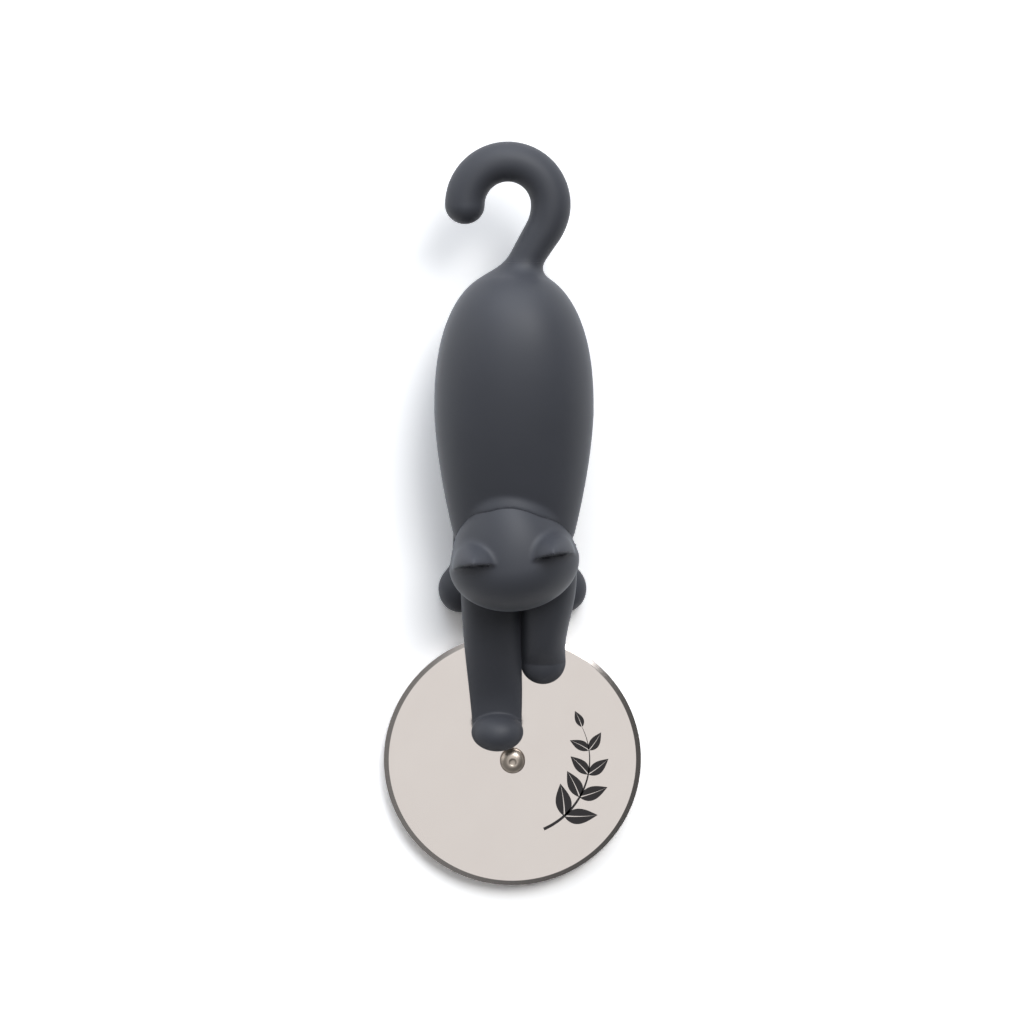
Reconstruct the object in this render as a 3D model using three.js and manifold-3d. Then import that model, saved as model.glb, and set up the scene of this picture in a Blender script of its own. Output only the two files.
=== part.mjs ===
// A pizza cutter whose handle is a stalking cat: the torso is the grip, the curled tail is the hanging hook,
// and the forelegs reach out over a free-running wheel that a cranked steel arm carries from behind.
// The part lies as on a table: the origin is on the wheel's axis at the table, +Z is the cat's back,
// and +Y runs from the wheel to the tail. All sizes are in millimetres.
import * as THREE from "three";
import { mergeVertices } from "three/addons/utils/BufferGeometryUtils.js";
import Module from "manifold-3d";

const wasm = await Module();
wasm.setup();

// Clearances
const RUNNING_CLEARANCE = 0.1; // between the wheel's set and what it turns on
const SEAT_GAP = 0.3; // between two mouldings that seat on each other
const SCREW_CLEARANCE = 0.3; // round a screw's shank and head
const SOLE_CLEARANCE = 1.05; // under the forepaws, over the turning blade
const LEG_ARM_GAP = 2.4; // under the forelegs, over the arm
const CHIN_ARM_GAP = 3.9; // under the chin, over the arm
const PAW_ARM_GAP = 1.9; // beside the arm, to each hind paw
const PAW_RIVET_GAP = 0.7; // from the rivet's head to the left forepaw
const LEG_GAP = 0.5; // between the forelegs

// Wheel
const WHEEL_DIAMETER = 70;
const BLADE_THICKNESS = 1;
const BEVEL_WIDTH = 1.3;
const EDGE_THICKNESS = 0.2;

// Axle rivet, washers and bush
const AXLE_RADIUS = 2;
const TENON_RADIUS = 1.5;
const RIVET_HEAD_RADIUS = 3.4;
const RIVET_HEAD_HEIGHT = 2;
const RIVET_HEAD_EDGE = 0.35;
const RIVET_DIMPLE_RADIUS = 0.9;
const RIVET_DIMPLE_DEPTH = 0.25;
const RIVET_TAIL_RADIUS = 3;
const RIVET_TAIL_HEIGHT = 1.8;
const RIVET_TAIL_ROUND = 0.7;
const WASHER_THICKNESS = 0.4;
const FRONT_WASHER_RIM = 1.1; // from bore to edge, hidden under the rivet's head
const BUSH_WALL = 0.9;
const BUSH_FLANGE_RIM = 1.5;
const BUSH_FLANGE_THICKNESS = 0.4;

// Steel arm
const ARM_THICKNESS = 1.5;
const ARM_WIDTH = 13;
const ARM_NOSE_RADIUS = 5.6; // round end behind the axle
const ARM_TAPER_LENGTH = 21; // from the axle to the full width
const ARM_CORNER = 3;
const CRANK_RIM_GAP = 2.2; // from the wheel's rim to the crank
const CRANK_RUN = 9;
const CRANK_BEND = 2.6;
const TANG_LENGTH = 36; // behind the chest, inside the torso
const TANG_RISE = 2; // over the torso's floor
const ARM_SCREW_INSET = 5; // from the tang's end
const ARM_SCREW_PITCH = 14;

// Screws and their bosses
const SCREW_RADIUS = 1.4;
const SCREW_HEAD_RADIUS = 2.7;
const SCREW_HEAD_HEIGHT = 1.8;
const SCREW_HEAD_ROUND = 0.6;
const SCREW_TIP_RADIUS = 0.4;
const ARM_SCREW_LENGTH = 5;
const SHELL_SCREW_LENGTH = 16;
const SHELL_SCREW_TANG_GAP = 9; // from the tang's end to the front shell screw
const SHELL_SCREW_TAIL_GAP = 7.8; // from the tail's flange to the rear shell screw
const BOSS_WALL = 2;
const PILOT_FLOOR = 0.8; // left under a blind pilot hole

// Torso
const WALL = 2.4;
const TORSO_LENGTH = 81;
const TORSO_HALF_WIDTH = 20.8;
const CHEST_HALF_WIDTH = 16.2;
const BELLY_HEIGHT = 5;
const PARTING_HEIGHT = 26; // the widest level, where the two shells meet
const CREST_HEIGHT = 46;
const NAPE_DROP = 8.5; // from the crest down to the nape
const NAPE_SETBACK = 20.4; // from the chest to the nape
const RUMP_LENGTH = 36.5; // from the widest section to the rump
const CREST_SETBACK = 24.6; // from the highest section to the rump
const CHEST_ROUND = 13; // length of the rounded chest
const CHEST_SETBACK = 13.3; // from the hind toes to the chest
const SECTION_POWER = 2.2; // squareness of the sections
const RUMP_POWER = 2.35; // fullness of the rump
const WAIST_POWER = 1.6;
const SLOPE_POWER = 1.7;

// Head
const HEAD_HALF_WIDTH = 17.1;
const HEAD_HALF_HEIGHT = 14.6;
const HEAD_FRONT = 12.7; // from the widest section to the face
const HEAD_BACK = 20; // from the widest section to the nape, inside the collar
const HEAD_SETBACK = 4.7; // from the chest to the head's widest section
const HEAD_TURN = 6.2; // degrees, towards the cat's left
const COLLAR_RISE = 0.8; // of the lip round the nape
const COLLAR_LEAN = 38; // degrees, of the plane that ends the lip
const COLLAR_SETBACK = 2; // of that plane, behind the nape
const NECK_RADIUS = 5;
const NECK_FLANGE_RIM = 2.6;
const FLANGE_THICKNESS = 2.2;
const EAR_PROFILE = [[7, 0], [6.4, 5], [5, 8.6], [2.8, 11.2], [0.9, 12.2]]; // radius at a height over the root
const EAR_FACE = -0.6; // the flat front, from the ear's axis
const EAR_SPREAD = 8.9; // from the head's middle
const EAR_SETBACK = 2.3; // behind the head's widest section
const EAR_SPLAY = 8; // degrees, outwards
const EAR_ROOT_HEIGHT = 6; // over the head's middle
const MUZZLE_RADIUS = 4.2;
const MUZZLE_SPREAD = 2.6;
const MUZZLE_REACH = 8.2; // from the head's middle
const MUZZLE_DROP = 5.2; // under the head's middle
const NOSE_RADIUS = 1.5;
const NOSE_REACH = 10.8;
const NOSE_DROP = 3;

// Tail
const TAIL_RADIUS = 5.15;
const HOOK_RADIUS = 11.1; // centreline of the curl
const HOOK_OFFSET = -1.6; // sideways from the torso's middle
const HOOK_REACH = 16.7; // from the rump to the curl's middle
const STEM_LEAN = 32; // degrees, of the stem at its root
const STEM_BEND = 14; // radius of the bend between the curl and the stem
const STEM_ROOT = 0.7; // behind the flange
const STEM_COLLAR_WALL = 0.7;
const STEM_COLLAR_LENGTH = 2;
const STEM_FILLET = 2;
const TAIL_FLANGE_RIM = 2;
const TAIL_FLANGE_INSET = 8.6; // from the rump to the flange's inner face

// Forelegs
const LEG_SPLIT = 2.1; // the gap's place sideways
const SHOULDER_HEIGHT = 25; // top of the forelegs at the chest
const SHOULDER_SETBACK = 8; // of the root section, inside the chest
const SHOULDER_REACH = 4; // of the widest section, before the chest
const SHOULDER_HALF_WIDTH = 8.1;
const ELBOW_HALF_WIDTH = 7.7;
const ELBOW_DROP = 3.4; // under the shoulder, over the wheel's rim
const WRIST_HALF_WIDTH = 7.1;
const WRIST_OFFSET = -4.6;
const WRIST_HEIGHT = 10;
const WRIST_RISE = 0.6; // over the sole
const PAW_HALF_WIDTH = 7;
const PAW_HALF_LENGTH = 5.2;
const PAW_HEIGHT = 11.8;
const PAW_OFFSET = -4.2;
const RIGHT_SHOULDER_HALF_WIDTH = 7.3;
const RIGHT_LEG_HALF_WIDTH = 6.1;
const RIGHT_ELBOW_DROP = 4.6;
const RIGHT_WRIST_DROP = 7.5;
const RIGHT_LEG_REACH = 22.3; // from the axle to the end of the standing leg
const PEG_RADIUS = 2.8;
const PEG_LENGTH = 10;
const PEG_ARM_GAP = 0.9;

// Hind legs: sections placed back from the toes and in from the paw's middle
const TOE_RIM_GAP = 5.3; // from the wheel's rim to the hind toes
const SOLE_CUT = 0.7; // what is cut off a round sole to make it flat
const HIND_PAW_HALF_WIDTH = 5.8;
const HIND_PAW_HALF_LENGTH = 6.4;
const HIND_PAW_HEIGHT = 10;
const HIP = { back: 57.3, inset: 2.4, halfWidth: 9, low: 6, high: 27 };
const THIGH = { back: 48.3, inset: 2.1, halfWidth: 8, low: 2.6, high: 22 };
const HOCK = { back: 35, inset: 2.6, halfWidth: 6, low: -SOLE_CUT, high: 14 };
const SHANK = { back: 22.6, inset: 2.8, halfWidth: 4.6, low: -SOLE_CUT, high: 9.6 };
const ANKLE = { back: 13.8, inset: 1.9, halfWidth: 4.4, low: -SOLE_CUT, high: 8.8 };
const INSTEP = { back: 6.4, inset: 0, halfWidth: 4.4, low: -SOLE_CUT, high: 8 };
const HIP_ROUND = 9;
const HIND_PEG_START = 4.5; // height of the peg's root in the thigh

// Facets
const WHEEL_SIDES = 72;
const HEAD_SIDES = 24;
const TORSO_SIDES = 28;
const HOLLOW_SIDES = 16;
const ROUND_SIDES = 18;
const LIMB_SIDES = 16;
const BORE_SIDES = 12;
const FINE_STEP = 1e-4; // corners nearer than this are one corner
const FAR = 400; // larger than the part, for cutting slabs

const degrees = THREE.MathUtils.degToRad;
const ACROSS = new THREE.Vector3(1, 0, 0);
const AHEAD = new THREE.Vector3(0, 1, 0);
const UP = new THREE.Vector3(0, 0, 1);

// Places along the part
const rim = WHEEL_DIAMETER / 2;
const toes = rim + TOE_RIM_GAP;
const chest = toes + CHEST_SETBACK;
const rump = chest + TORSO_LENGTH;
const widest = rump - RUMP_LENGTH;
const crest = rump - CREST_SETBACK;
const nape = chest + NAPE_SETBACK;
const tangEnd = chest + TANG_LENGTH;
const armScrews = [tangEnd - ARM_SCREW_INSET - ARM_SCREW_PITCH, tangEnd - ARM_SCREW_INSET];
const tailFlangePlace = rump - TAIL_FLANGE_INSET;
const shellScrews = [tangEnd + SHELL_SCREW_TANG_GAP, tailFlangePlace - SHELL_SCREW_TAIL_GAP];

// Places up the axle
const armTop = RIVET_TAIL_HEIGHT + ARM_THICKNESS;
const rearWasherTop = armTop + WASHER_THICKNESS;
const bushBottom = rearWasherTop + RUNNING_CLEARANCE;
const bladeBottom = bushBottom + BUSH_FLANGE_THICKNESS;
const bladeTop = bladeBottom + BLADE_THICKNESS;
const bushTop = bladeTop + RUNNING_CLEARANCE;
const frontWasherBottom = bushTop + RUNNING_CLEARANCE;
const rivetSeat = frontWasherBottom + WASHER_THICKNESS;
const soleHeight = bladeTop + SOLE_CLEARANCE;
const axleBore = AXLE_RADIUS + RUNNING_CLEARANCE;
const bushRadius = axleBore + BUSH_WALL;

// Places up the torso
const tangBottom = BELLY_HEIGHT + WALL + TANG_RISE;
const tangTop = tangBottom + ARM_THICKNESS;
const shellBottom = PARTING_HEIGHT + SEAT_GAP / 2;
const shellTop = PARTING_HEIGHT - SEAT_GAP / 2;
const counterboreTop = PARTING_HEIGHT - SHELL_SCREW_LENGTH / 2;
const headPlace = new THREE.Vector3(0, chest + HEAD_SETBACK, tangTop + CHIN_ARM_GAP + HEAD_HALF_HEIGHT);
const neckStart = new THREE.Vector3(0, headPlace.y, PARTING_HEIGHT);
const neckEnd = headPlace.y + HEAD_BACK + SEAT_GAP + WALL + SEAT_GAP;

// Places of the tail and the paws
const curlMiddle = new THREE.Vector2(HOOK_OFFSET, rump + HOOK_REACH);
const bendMiddle = new THREE.Vector2(HOOK_OFFSET + HOOK_RADIUS - STEM_BEND, rump + HOOK_REACH);
const bendEnd = onCircle(bendMiddle, STEM_BEND, -degrees(STEM_LEAN));
const hindPawOffset = ARM_WIDTH / 2 + PAW_ARM_GAP + HIND_PAW_HALF_WIDTH;
const pegOffset = ARM_WIDTH / 2 + PEG_ARM_GAP + PEG_RADIUS;
const pawPlace = new THREE.Vector3(
  PAW_OFFSET,
  RIVET_HEAD_RADIUS + PAW_RIVET_GAP + PAW_HALF_LENGTH,
  soleHeight - SOLE_CUT + PAW_HEIGHT / 2,
);

// Tools for making solids

function onCircle(middle, radius, angle) {
  return new THREE.Vector2(middle.x + radius * Math.cos(angle), middle.y + radius * Math.sin(angle));
}

function solidOf(geometry) {
  const plain = geometry.index ? geometry.toNonIndexed() : geometry.clone();
  const others = Object.keys(plain.attributes).filter((name) => name !== "position");
  others.forEach((name) => plain.deleteAttribute(name));
  const merged = mergeVertices(plain, FINE_STEP);
  const corners = merged.index.array;
  const faces = [];
  for (let i = 0; i < corners.length; i += 3) {
    const [a, b, c] = corners.slice(i, i + 3);
    if (a !== b && b !== c && c !== a) faces.push(a, b, c);
  }
  const vertProperties = merged.attributes.position.array;
  return new wasm.Manifold(new wasm.Mesh({ numProp: 3, vertProperties, triVerts: new Uint32Array(faces) }));
}

function geometryOf(solid) {
  const { vertProperties, triVerts } = solid.getMesh();
  const geometry = new THREE.BufferGeometry();
  geometry.setAttribute("position", new THREE.BufferAttribute(new Float32Array(vertProperties), 3));
  geometry.setIndex(new THREE.BufferAttribute(new Uint32Array(triVerts), 1));
  geometry.computeVertexNormals();
  return geometry;
}

// A closed skin over rings of equal counts; a fan to the ring's middle closes each end.
function loft(rings) {
  const count = rings[0].length;
  const points = rings.flat();
  const middle = (ring) => ring.reduce((sum, p) => sum.add(p), new THREE.Vector3()).divideScalar(count);
  const first = points.push(middle(rings[0])) - 1;
  const last = points.push(middle(rings.at(-1))) - 1;
  const top = (rings.length - 1) * count;
  const faces = [];
  for (let i = 0; i < count; i++) {
    const j = (i + 1) % count;
    faces.push(first, j, i, last, top + i, top + j);
    for (let row = 0; row < top; row += count) {
      faces.push(row + i, row + j, row + j + count, row + i, row + j + count, row + i + count);
    }
  }
  const geometry = new THREE.BufferGeometry().setFromPoints(points).setIndex(faces);
  const solid = solidOf(geometry);
  return solid.volume() > 0 ? solid : solidOf(geometry.setIndex(faces.reverse()));
}

// A solid of revolution about +Z from [radius, height] pairs that end on the axis or close on themselves.
function spindle(profile, sides = ROUND_SIDES) {
  const points = profile.map(([radius, height]) => new THREE.Vector2(radius, height));
  return solidOf(new THREE.LatheGeometry(points, sides).rotateX(Math.PI / 2));
}

function ring(inner, outer, bottom, top) {
  return spindle([[inner, bottom], [outer, bottom], [outer, top], [inner, top], [inner, bottom]]);
}

function rodAt(along, radius, bottom, top, sides = BORE_SIDES) {
  return spindle([[0, bottom], [radius, bottom], [radius, top], [0, top]], sides).translate([0, along, 0]);
}

function pegAlong(start, direction, radius, length, sides = BORE_SIDES) {
  const geometry = new THREE.CylinderGeometry(radius, radius, length, sides).translate(0, length / 2, 0);
  const turn = new THREE.Quaternion().setFromUnitVectors(AHEAD, direction);
  return solidOf(geometry.applyQuaternion(turn).translate(start.x, start.y, start.z));
}

// A ball stretched by its own amount across, to the front, to the back and up.
function egg(middle, { across, front, back, up }, sides) {
  const geometry = new THREE.SphereGeometry(1, sides, sides / 2).rotateX(Math.PI / 2);
  const points = geometry.attributes.position;
  for (let i = 0; i < points.count; i++) {
    const along = points.getY(i);
    points.setY(i, along < 0 ? along * front : along * back);
  }
  return solidOf(geometry.scale(across, 1, up).translate(middle.x, middle.y, middle.z));
}

function ellipsoid(middle, across, along, up, sides) {
  return egg(middle, { across, front: along, back: along, up }, sides);
}

function below(height) {
  return solidOf(new THREE.BoxGeometry(FAR, FAR, FAR).translate(0, 0, height - FAR / 2));
}

function above(height) {
  return solidOf(new THREE.BoxGeometry(FAR, FAR, FAR).translate(0, 0, height + FAR / 2));
}

// Where a row of numbers passes at share t between its second and third ones.
function smoothAt([before, from, to, after], t) {
  const [leave, arrive] = [(to - before) / 2, (after - from) / 2];
  const [square, cube] = [3 * (to - from) - 2 * leave - arrive, 2 * (from - to) + leave + arrive];
  return from + leave * t + square * t ** 2 + cube * t ** 3;
}

// A limb with oval sections at stations {x, y, z, w, h} from root to end, and a round cap on both ends.
function limb(stations, rootRound, endRound) {
  const last = stations.length - 1;
  const at = (place) => {
    const from = Math.min(Math.floor(place), last - 1);
    const near = [from - 1, from, from + 1, from + 2].map((i) => stations[THREE.MathUtils.clamp(i, 0, last)]);
    const value = (key) => smoothAt(near.map((station) => station[key]), place - from);
    return { x: value("x"), y: value("y"), z: value("z"), w: value("w"), h: value("h") };
  };
  const caps = [1, 0.75, 0.5, 0.25].map((share) => (share * Math.PI) / 2);
  const root = caps.map((angle) => oval(stations[0], rootRound * Math.sin(angle), Math.cos(angle)));
  const end = caps.map((angle) => oval(stations[last], -endRound * Math.sin(angle), Math.cos(angle)));
  const rows = [];
  for (let half = 0; half <= last * 2; half++) rows.push(oval(at(half / 2), 0, 1));
  return loft([...root, ...rows, ...end.reverse()]);
}

function oval(station, shift, scale) {
  const points = [];
  for (let i = 0; i < LIMB_SIDES; i++) {
    const angle = (i / LIMB_SIDES) * 2 * Math.PI;
    const across = station.w * scale * Math.cos(angle);
    const up = station.h * scale * Math.sin(angle);
    points.push(new THREE.Vector3(station.x + across, station.y + shift, station.z + up));
  }
  return points;
}

function station(x, y, w, low, high) {
  return { x, y, z: (low + high) / 2, w, h: (high - low) / 2 };
}

// Torso form: one loft from the chest to the tail's collar, later split at its widest level

function superArc(share, power) {
  return (1 - THREE.MathUtils.clamp(share, 0, 1) ** power) ** (1 / power);
}

function softMax(a, b, blend) {
  return (a + b + Math.hypot(a - b, blend)) / 2;
}

// Sideways place of the tail's stem at a place along the part.
function stemOffset(along) {
  return bendEnd.x - (bendEnd.y - along) * Math.tan(degrees(STEM_LEAN));
}

function torsoSection(along, grow) {
  const chestArc = superArc((chest + CHEST_ROUND - along) / (CHEST_ROUND + grow), SECTION_POWER);
  const rumpArc = (from) => superArc((along - from) / (rump + grow - from), RUMP_POWER);
  const waist = Math.max(0, widest - along) / (widest - chest - CHEST_ROUND);
  const slope = Math.max(0, crest - along) / (crest - nape);
  const taper = (TORSO_HALF_WIDTH - CHEST_HALF_WIDTH) * waist ** WAIST_POWER;
  const fall = NAPE_DROP * slope ** SLOPE_POWER;
  return {
    halfWidth: (TORSO_HALF_WIDTH - taper + grow) * rumpArc(widest) * chestArc,
    rise: (CREST_HEIGHT - PARTING_HEIGHT - fall + grow) * rumpArc(crest) * chestArc,
    drop: (PARTING_HEIGHT - BELLY_HEIGHT + grow) * rumpArc(widest) * chestArc,
  };
}

function squareOval(section, middle, along, sides) {
  const points = [];
  for (let i = 0; i < sides; i++) {
    const angle = (i / sides) * 2 * Math.PI;
    const [c, s] = [Math.cos(angle), Math.sin(angle)];
    const across = Math.sign(c) * Math.abs(c) ** (2 / SECTION_POWER) * section.halfWidth;
    const up = Math.sign(s) * Math.abs(s) ** (2 / SECTION_POWER) * (s > 0 ? section.rise : section.drop);
    points.push(new THREE.Vector3(middle + across, along, PARTING_HEIGHT + up));
  }
  return points;
}

// Places of the sections from the chest to the rump, closer together on the rounded ends.
function torsoPlaces(grow) {
  const arc = (steps) => Array.from({ length: steps + 1 }, (_, n) => 1 - Math.cos((n * Math.PI) / (2 * steps)));
  const front = arc(5).map((share) => chest - grow + (CHEST_ROUND + grow) * share);
  const straight = [0.25, 0.5, 0.75].map((share) => THREE.MathUtils.lerp(chest + CHEST_ROUND, widest, share));
  const back = arc(8).map((share) => rump + grow - (RUMP_LENGTH + grow) * share).reverse();
  return [...front, ...straight, ...back];
}

function torsoForm(grow, sides) {
  return loft(torsoPlaces(grow).map((along) => squareOval(torsoSection(along, grow), 0, along, sides)));
}

// The outside also runs out into a leaning collar round the tail's stem.
function torsoOutside() {
  const collar = TAIL_RADIUS + SEAT_GAP + STEM_COLLAR_WALL;
  const places = [...torsoPlaces(0), rump + STEM_COLLAR_LENGTH];
  const rings = places.map((along) => {
    const plain = torsoSection(along, 0);
    const near = THREE.MathUtils.smoothstep(along, widest, rump);
    const behind = along > widest ? 1 : 0;
    const blend = (size, least) => softMax(size, least * behind, STEM_FILLET * near);
    const section = {
      halfWidth: blend(plain.halfWidth, collar / Math.cos(degrees(STEM_LEAN))),
      rise: blend(plain.rise, collar),
      drop: blend(plain.drop, collar),
    };
    const shift = THREE.MathUtils.smoothstep(along, tailFlangePlace, rump) * stemOffset(along);
    return squareOval(section, shift, along, TORSO_SIDES);
  });
  return loft(rings);
}

// Head form: skull, muzzle, nose and ears, grown by a clearance for what seats round it

function ear(side, grow) {
  const outline = EAR_PROFILE.map(([radius, height]) => [radius + grow, height + grow]);
  const [bottom, top] = [outline[0][1], outline.at(-1)[1]];
  const cone = spindle([[0, bottom], ...outline, [0, top]]);
  const front = new THREE.BoxGeometry(FAR, FAR, FAR).translate(0, EAR_FACE - grow - FAR / 2, 0);
  const half = cone.subtract(solidOf(front));
  return half.rotate([0, side * EAR_SPLAY, 0]).translate([side * EAR_SPREAD, EAR_SETBACK, EAR_ROOT_HEIGHT]);
}

function headTurned(form) {
  return form.rotate([0, 0, HEAD_TURN]).translate(headPlace.toArray());
}

function skullForm(grow) {
  const [across, up] = [HEAD_HALF_WIDTH + grow, HEAD_HALF_HEIGHT + grow];
  const sizes = { across, front: HEAD_FRONT + grow, back: HEAD_BACK + grow, up };
  return headTurned(egg(new THREE.Vector3(), sizes, HEAD_SIDES));
}

function headForm(grow) {
  const puff = MUZZLE_RADIUS + grow;
  const tip = NOSE_RADIUS + grow;
  const nose = ellipsoid(new THREE.Vector3(0, -NOSE_REACH, -NOSE_DROP), tip, tip, tip, BORE_SIDES);
  const face = [-1, 1].reduce((form, side) => {
    const cheek = new THREE.Vector3(side * MUZZLE_SPREAD, -MUZZLE_REACH, -MUZZLE_DROP);
    return form.add(ellipsoid(cheek, puff, puff, puff, BORE_SIDES)).add(ear(side, grow));
  }, nose);
  return skullForm(grow).add(headTurned(face));
}

// Tail form: a round bar from inside the rump, through a bend and round the curl

function tailLine() {
  const root = new THREE.Vector2(stemOffset(tailFlangePlace - STEM_ROOT), tailFlangePlace - STEM_ROOT);
  const line = [root, root.clone().lerp(bendEnd, 0.5), bendEnd];
  for (const share of [0.5, 0]) line.push(onCircle(bendMiddle, STEM_BEND, -degrees(STEM_LEAN) * share));
  const turns = 14;
  for (let n = 1; n <= turns; n++) line.push(onCircle(curlMiddle, HOOK_RADIUS, (Math.PI * n) / turns));
  return line;
}

function hoop(middle, heading, radius) {
  const points = [];
  for (let i = 0; i < LIMB_SIDES; i++) {
    const angle = (i / LIMB_SIDES) * 2 * Math.PI;
    const [across, up] = [radius * Math.cos(angle), radius * Math.sin(angle)];
    const [x, y] = [middle.x - heading.y * across, middle.y + heading.x * across];
    points.push(new THREE.Vector3(x, y, PARTING_HEIGHT + up));
  }
  return points;
}

function tailForm(radius) {
  const line = tailLine();
  const rings = line.map((point, n) => {
    const [before, after] = [line[Math.max(0, n - 1)], line[Math.min(line.length - 1, n + 1)]];
    return hoop(point, after.clone().sub(before).normalize(), radius);
  });
  const down = new THREE.Vector2(0, -1);
  for (const share of [0.25, 0.5, 0.75, 1]) {
    const angle = (share * Math.PI) / 2;
    const middle = line.at(-1).clone().addScaledVector(down, radius * Math.sin(angle));
    rings.push(hoop(middle, down, radius * Math.cos(angle)));
  }
  return loft(rings);
}

function tailFlange(grow) {
  const along = tailFlangePlace;
  const axis = new THREE.Vector3(Math.sin(degrees(STEM_LEAN)), Math.cos(degrees(STEM_LEAN)), 0);
  const start = new THREE.Vector3(stemOffset(along), along, PARTING_HEIGHT).addScaledVector(axis, -grow);
  return pegAlong(start, axis, TAIL_RADIUS + TAIL_FLANGE_RIM + grow, FLANGE_THICKNESS + 2 * grow);
}

// Arm form: a cranked strip, cut to its outline

function armLine() {
  const [low, high] = [RIVET_TAIL_HEIGHT + ARM_THICKNESS / 2, tangBottom + ARM_THICKNESS / 2];
  const [start, end] = [rim + CRANK_RIM_GAP, rim + CRANK_RIM_GAP + CRANK_RUN];
  const lift = ((high - low) * CRANK_BEND) / CRANK_RUN;
  const path = new THREE.Path();
  path.moveTo(-FAR, low);
  path.lineTo(start - CRANK_BEND, low);
  path.quadraticCurveTo(start, low, start + CRANK_BEND, low + lift);
  path.lineTo(end - CRANK_BEND, high - lift);
  path.quadraticCurveTo(end, high, end + CRANK_BEND, high);
  path.lineTo(FAR, high);
  const bendSteps = 4;
  const points = path.getPoints(bendSteps);
  return points.filter((point, i) => i === 0 || point.distanceTo(points[i - 1]) > FINE_STEP);
}

function armStrip(grow) {
  const line = armLine();
  const edge = (half) => line.map((point, i) => {
    const [before, after] = [line[Math.max(i - 1, 0)], line[Math.min(i + 1, line.length - 1)]];
    const heading = after.clone().sub(before).normalize();
    return new THREE.Vector2(point.x - heading.y * half, point.y + heading.x * half);
  });
  const half = ARM_THICKNESS / 2 + grow;
  const shape = new THREE.Shape([...edge(half), ...edge(-half).reverse()]);
  const geometry = new THREE.ExtrudeGeometry(shape, { depth: FAR, bevelEnabled: false });
  const turn = new THREE.Matrix4().makeBasis(AHEAD, UP, ACROSS);
  return solidOf(geometry.translate(0, 0, -FAR / 2).applyMatrix4(turn));
}

function armOutline(grow) {
  const [nose, side, end] = [ARM_NOSE_RADIUS + grow, ARM_WIDTH / 2 + grow, tangEnd + grow];
  const plan = new THREE.Shape();
  plan.absarc(0, 0, nose, Math.PI, 2 * Math.PI);
  plan.lineTo(side, ARM_TAPER_LENGTH);
  plan.lineTo(side, end - ARM_CORNER);
  plan.quadraticCurveTo(side, end, side - ARM_CORNER, end);
  plan.lineTo(ARM_CORNER - side, end);
  plan.quadraticCurveTo(-side, end, -side, end - ARM_CORNER);
  plan.lineTo(-side, ARM_TAPER_LENGTH);
  const cornerSteps = 6;
  const settings = { depth: FAR, bevelEnabled: false, curveSegments: cornerSteps };
  return solidOf(new THREE.ExtrudeGeometry(plan, settings).translate(0, 0, -FAR / 2));
}

function armForm(grow) {
  return armStrip(grow).intersect(armOutline(grow));
}

// Peg forms

function forelegPeg(side, grow) {
  const start = new THREE.Vector3(side * pegOffset, chest - PEG_LENGTH / 3, tangTop + PEG_ARM_GAP + PEG_RADIUS);
  return pegAlong(start, AHEAD, PEG_RADIUS + grow, PEG_LENGTH + grow);
}

function hindPeg(side, grow) {
  const start = new THREE.Vector3(side * (hindPawOffset - THIGH.inset), toes + THIGH.back, HIND_PEG_START);
  return pegAlong(start, UP, PEG_RADIUS + grow, PEG_LENGTH + grow);
}

// Shells

const torsoClear = torsoForm(SEAT_GAP, TORSO_SIDES);
const headClear = headForm(SEAT_GAP);
const hollow = torsoForm(-WALL, HOLLOW_SIDES).subtract(skullForm(SEAT_GAP + WALL));
const walls = shellWalls();

// The lip that stands round the nape ends at a plane that leans over the head.
function napeCollar() {
  const behind = new THREE.BoxGeometry(FAR, FAR, FAR).translate(0, FAR / 2, 0).rotateX(degrees(COLLAR_LEAN));
  behind.translate(0, nape + COLLAR_SETBACK, CREST_HEIGHT - NAPE_DROP);
  return skullForm(SEAT_GAP + COLLAR_RISE).intersect(solidOf(behind));
}

function shellWalls() {
  const neckBore = pegAlong(neckStart, AHEAD, NECK_RADIUS + SEAT_GAP, neckEnd - neckStart.y);
  const skin = torsoOutside().add(napeCollar()).subtract(headClear);
  const tailBore = tailForm(TAIL_RADIUS + SEAT_GAP).add(tailFlange(SEAT_GAP));
  return skin.subtract(hollow).subtract(tailBore).subtract(neckBore);
}

function backShell() {
  const bare = walls.intersect(above(shellBottom));
  const room = hollow.intersect(above(shellBottom)).add(bare);
  return shellScrews.reduce((shell, along) => {
    const boss = rodAt(along, SCREW_RADIUS + BOSS_WALL, shellBottom, CREST_HEIGHT).intersect(room);
    const pilotTop = counterboreTop + SHELL_SCREW_LENGTH + PILOT_FLOOR;
    return shell.add(boss).subtract(rodAt(along, SCREW_RADIUS + RUNNING_CLEARANCE, 0, pilotTop));
  }, bare);
}

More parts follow.
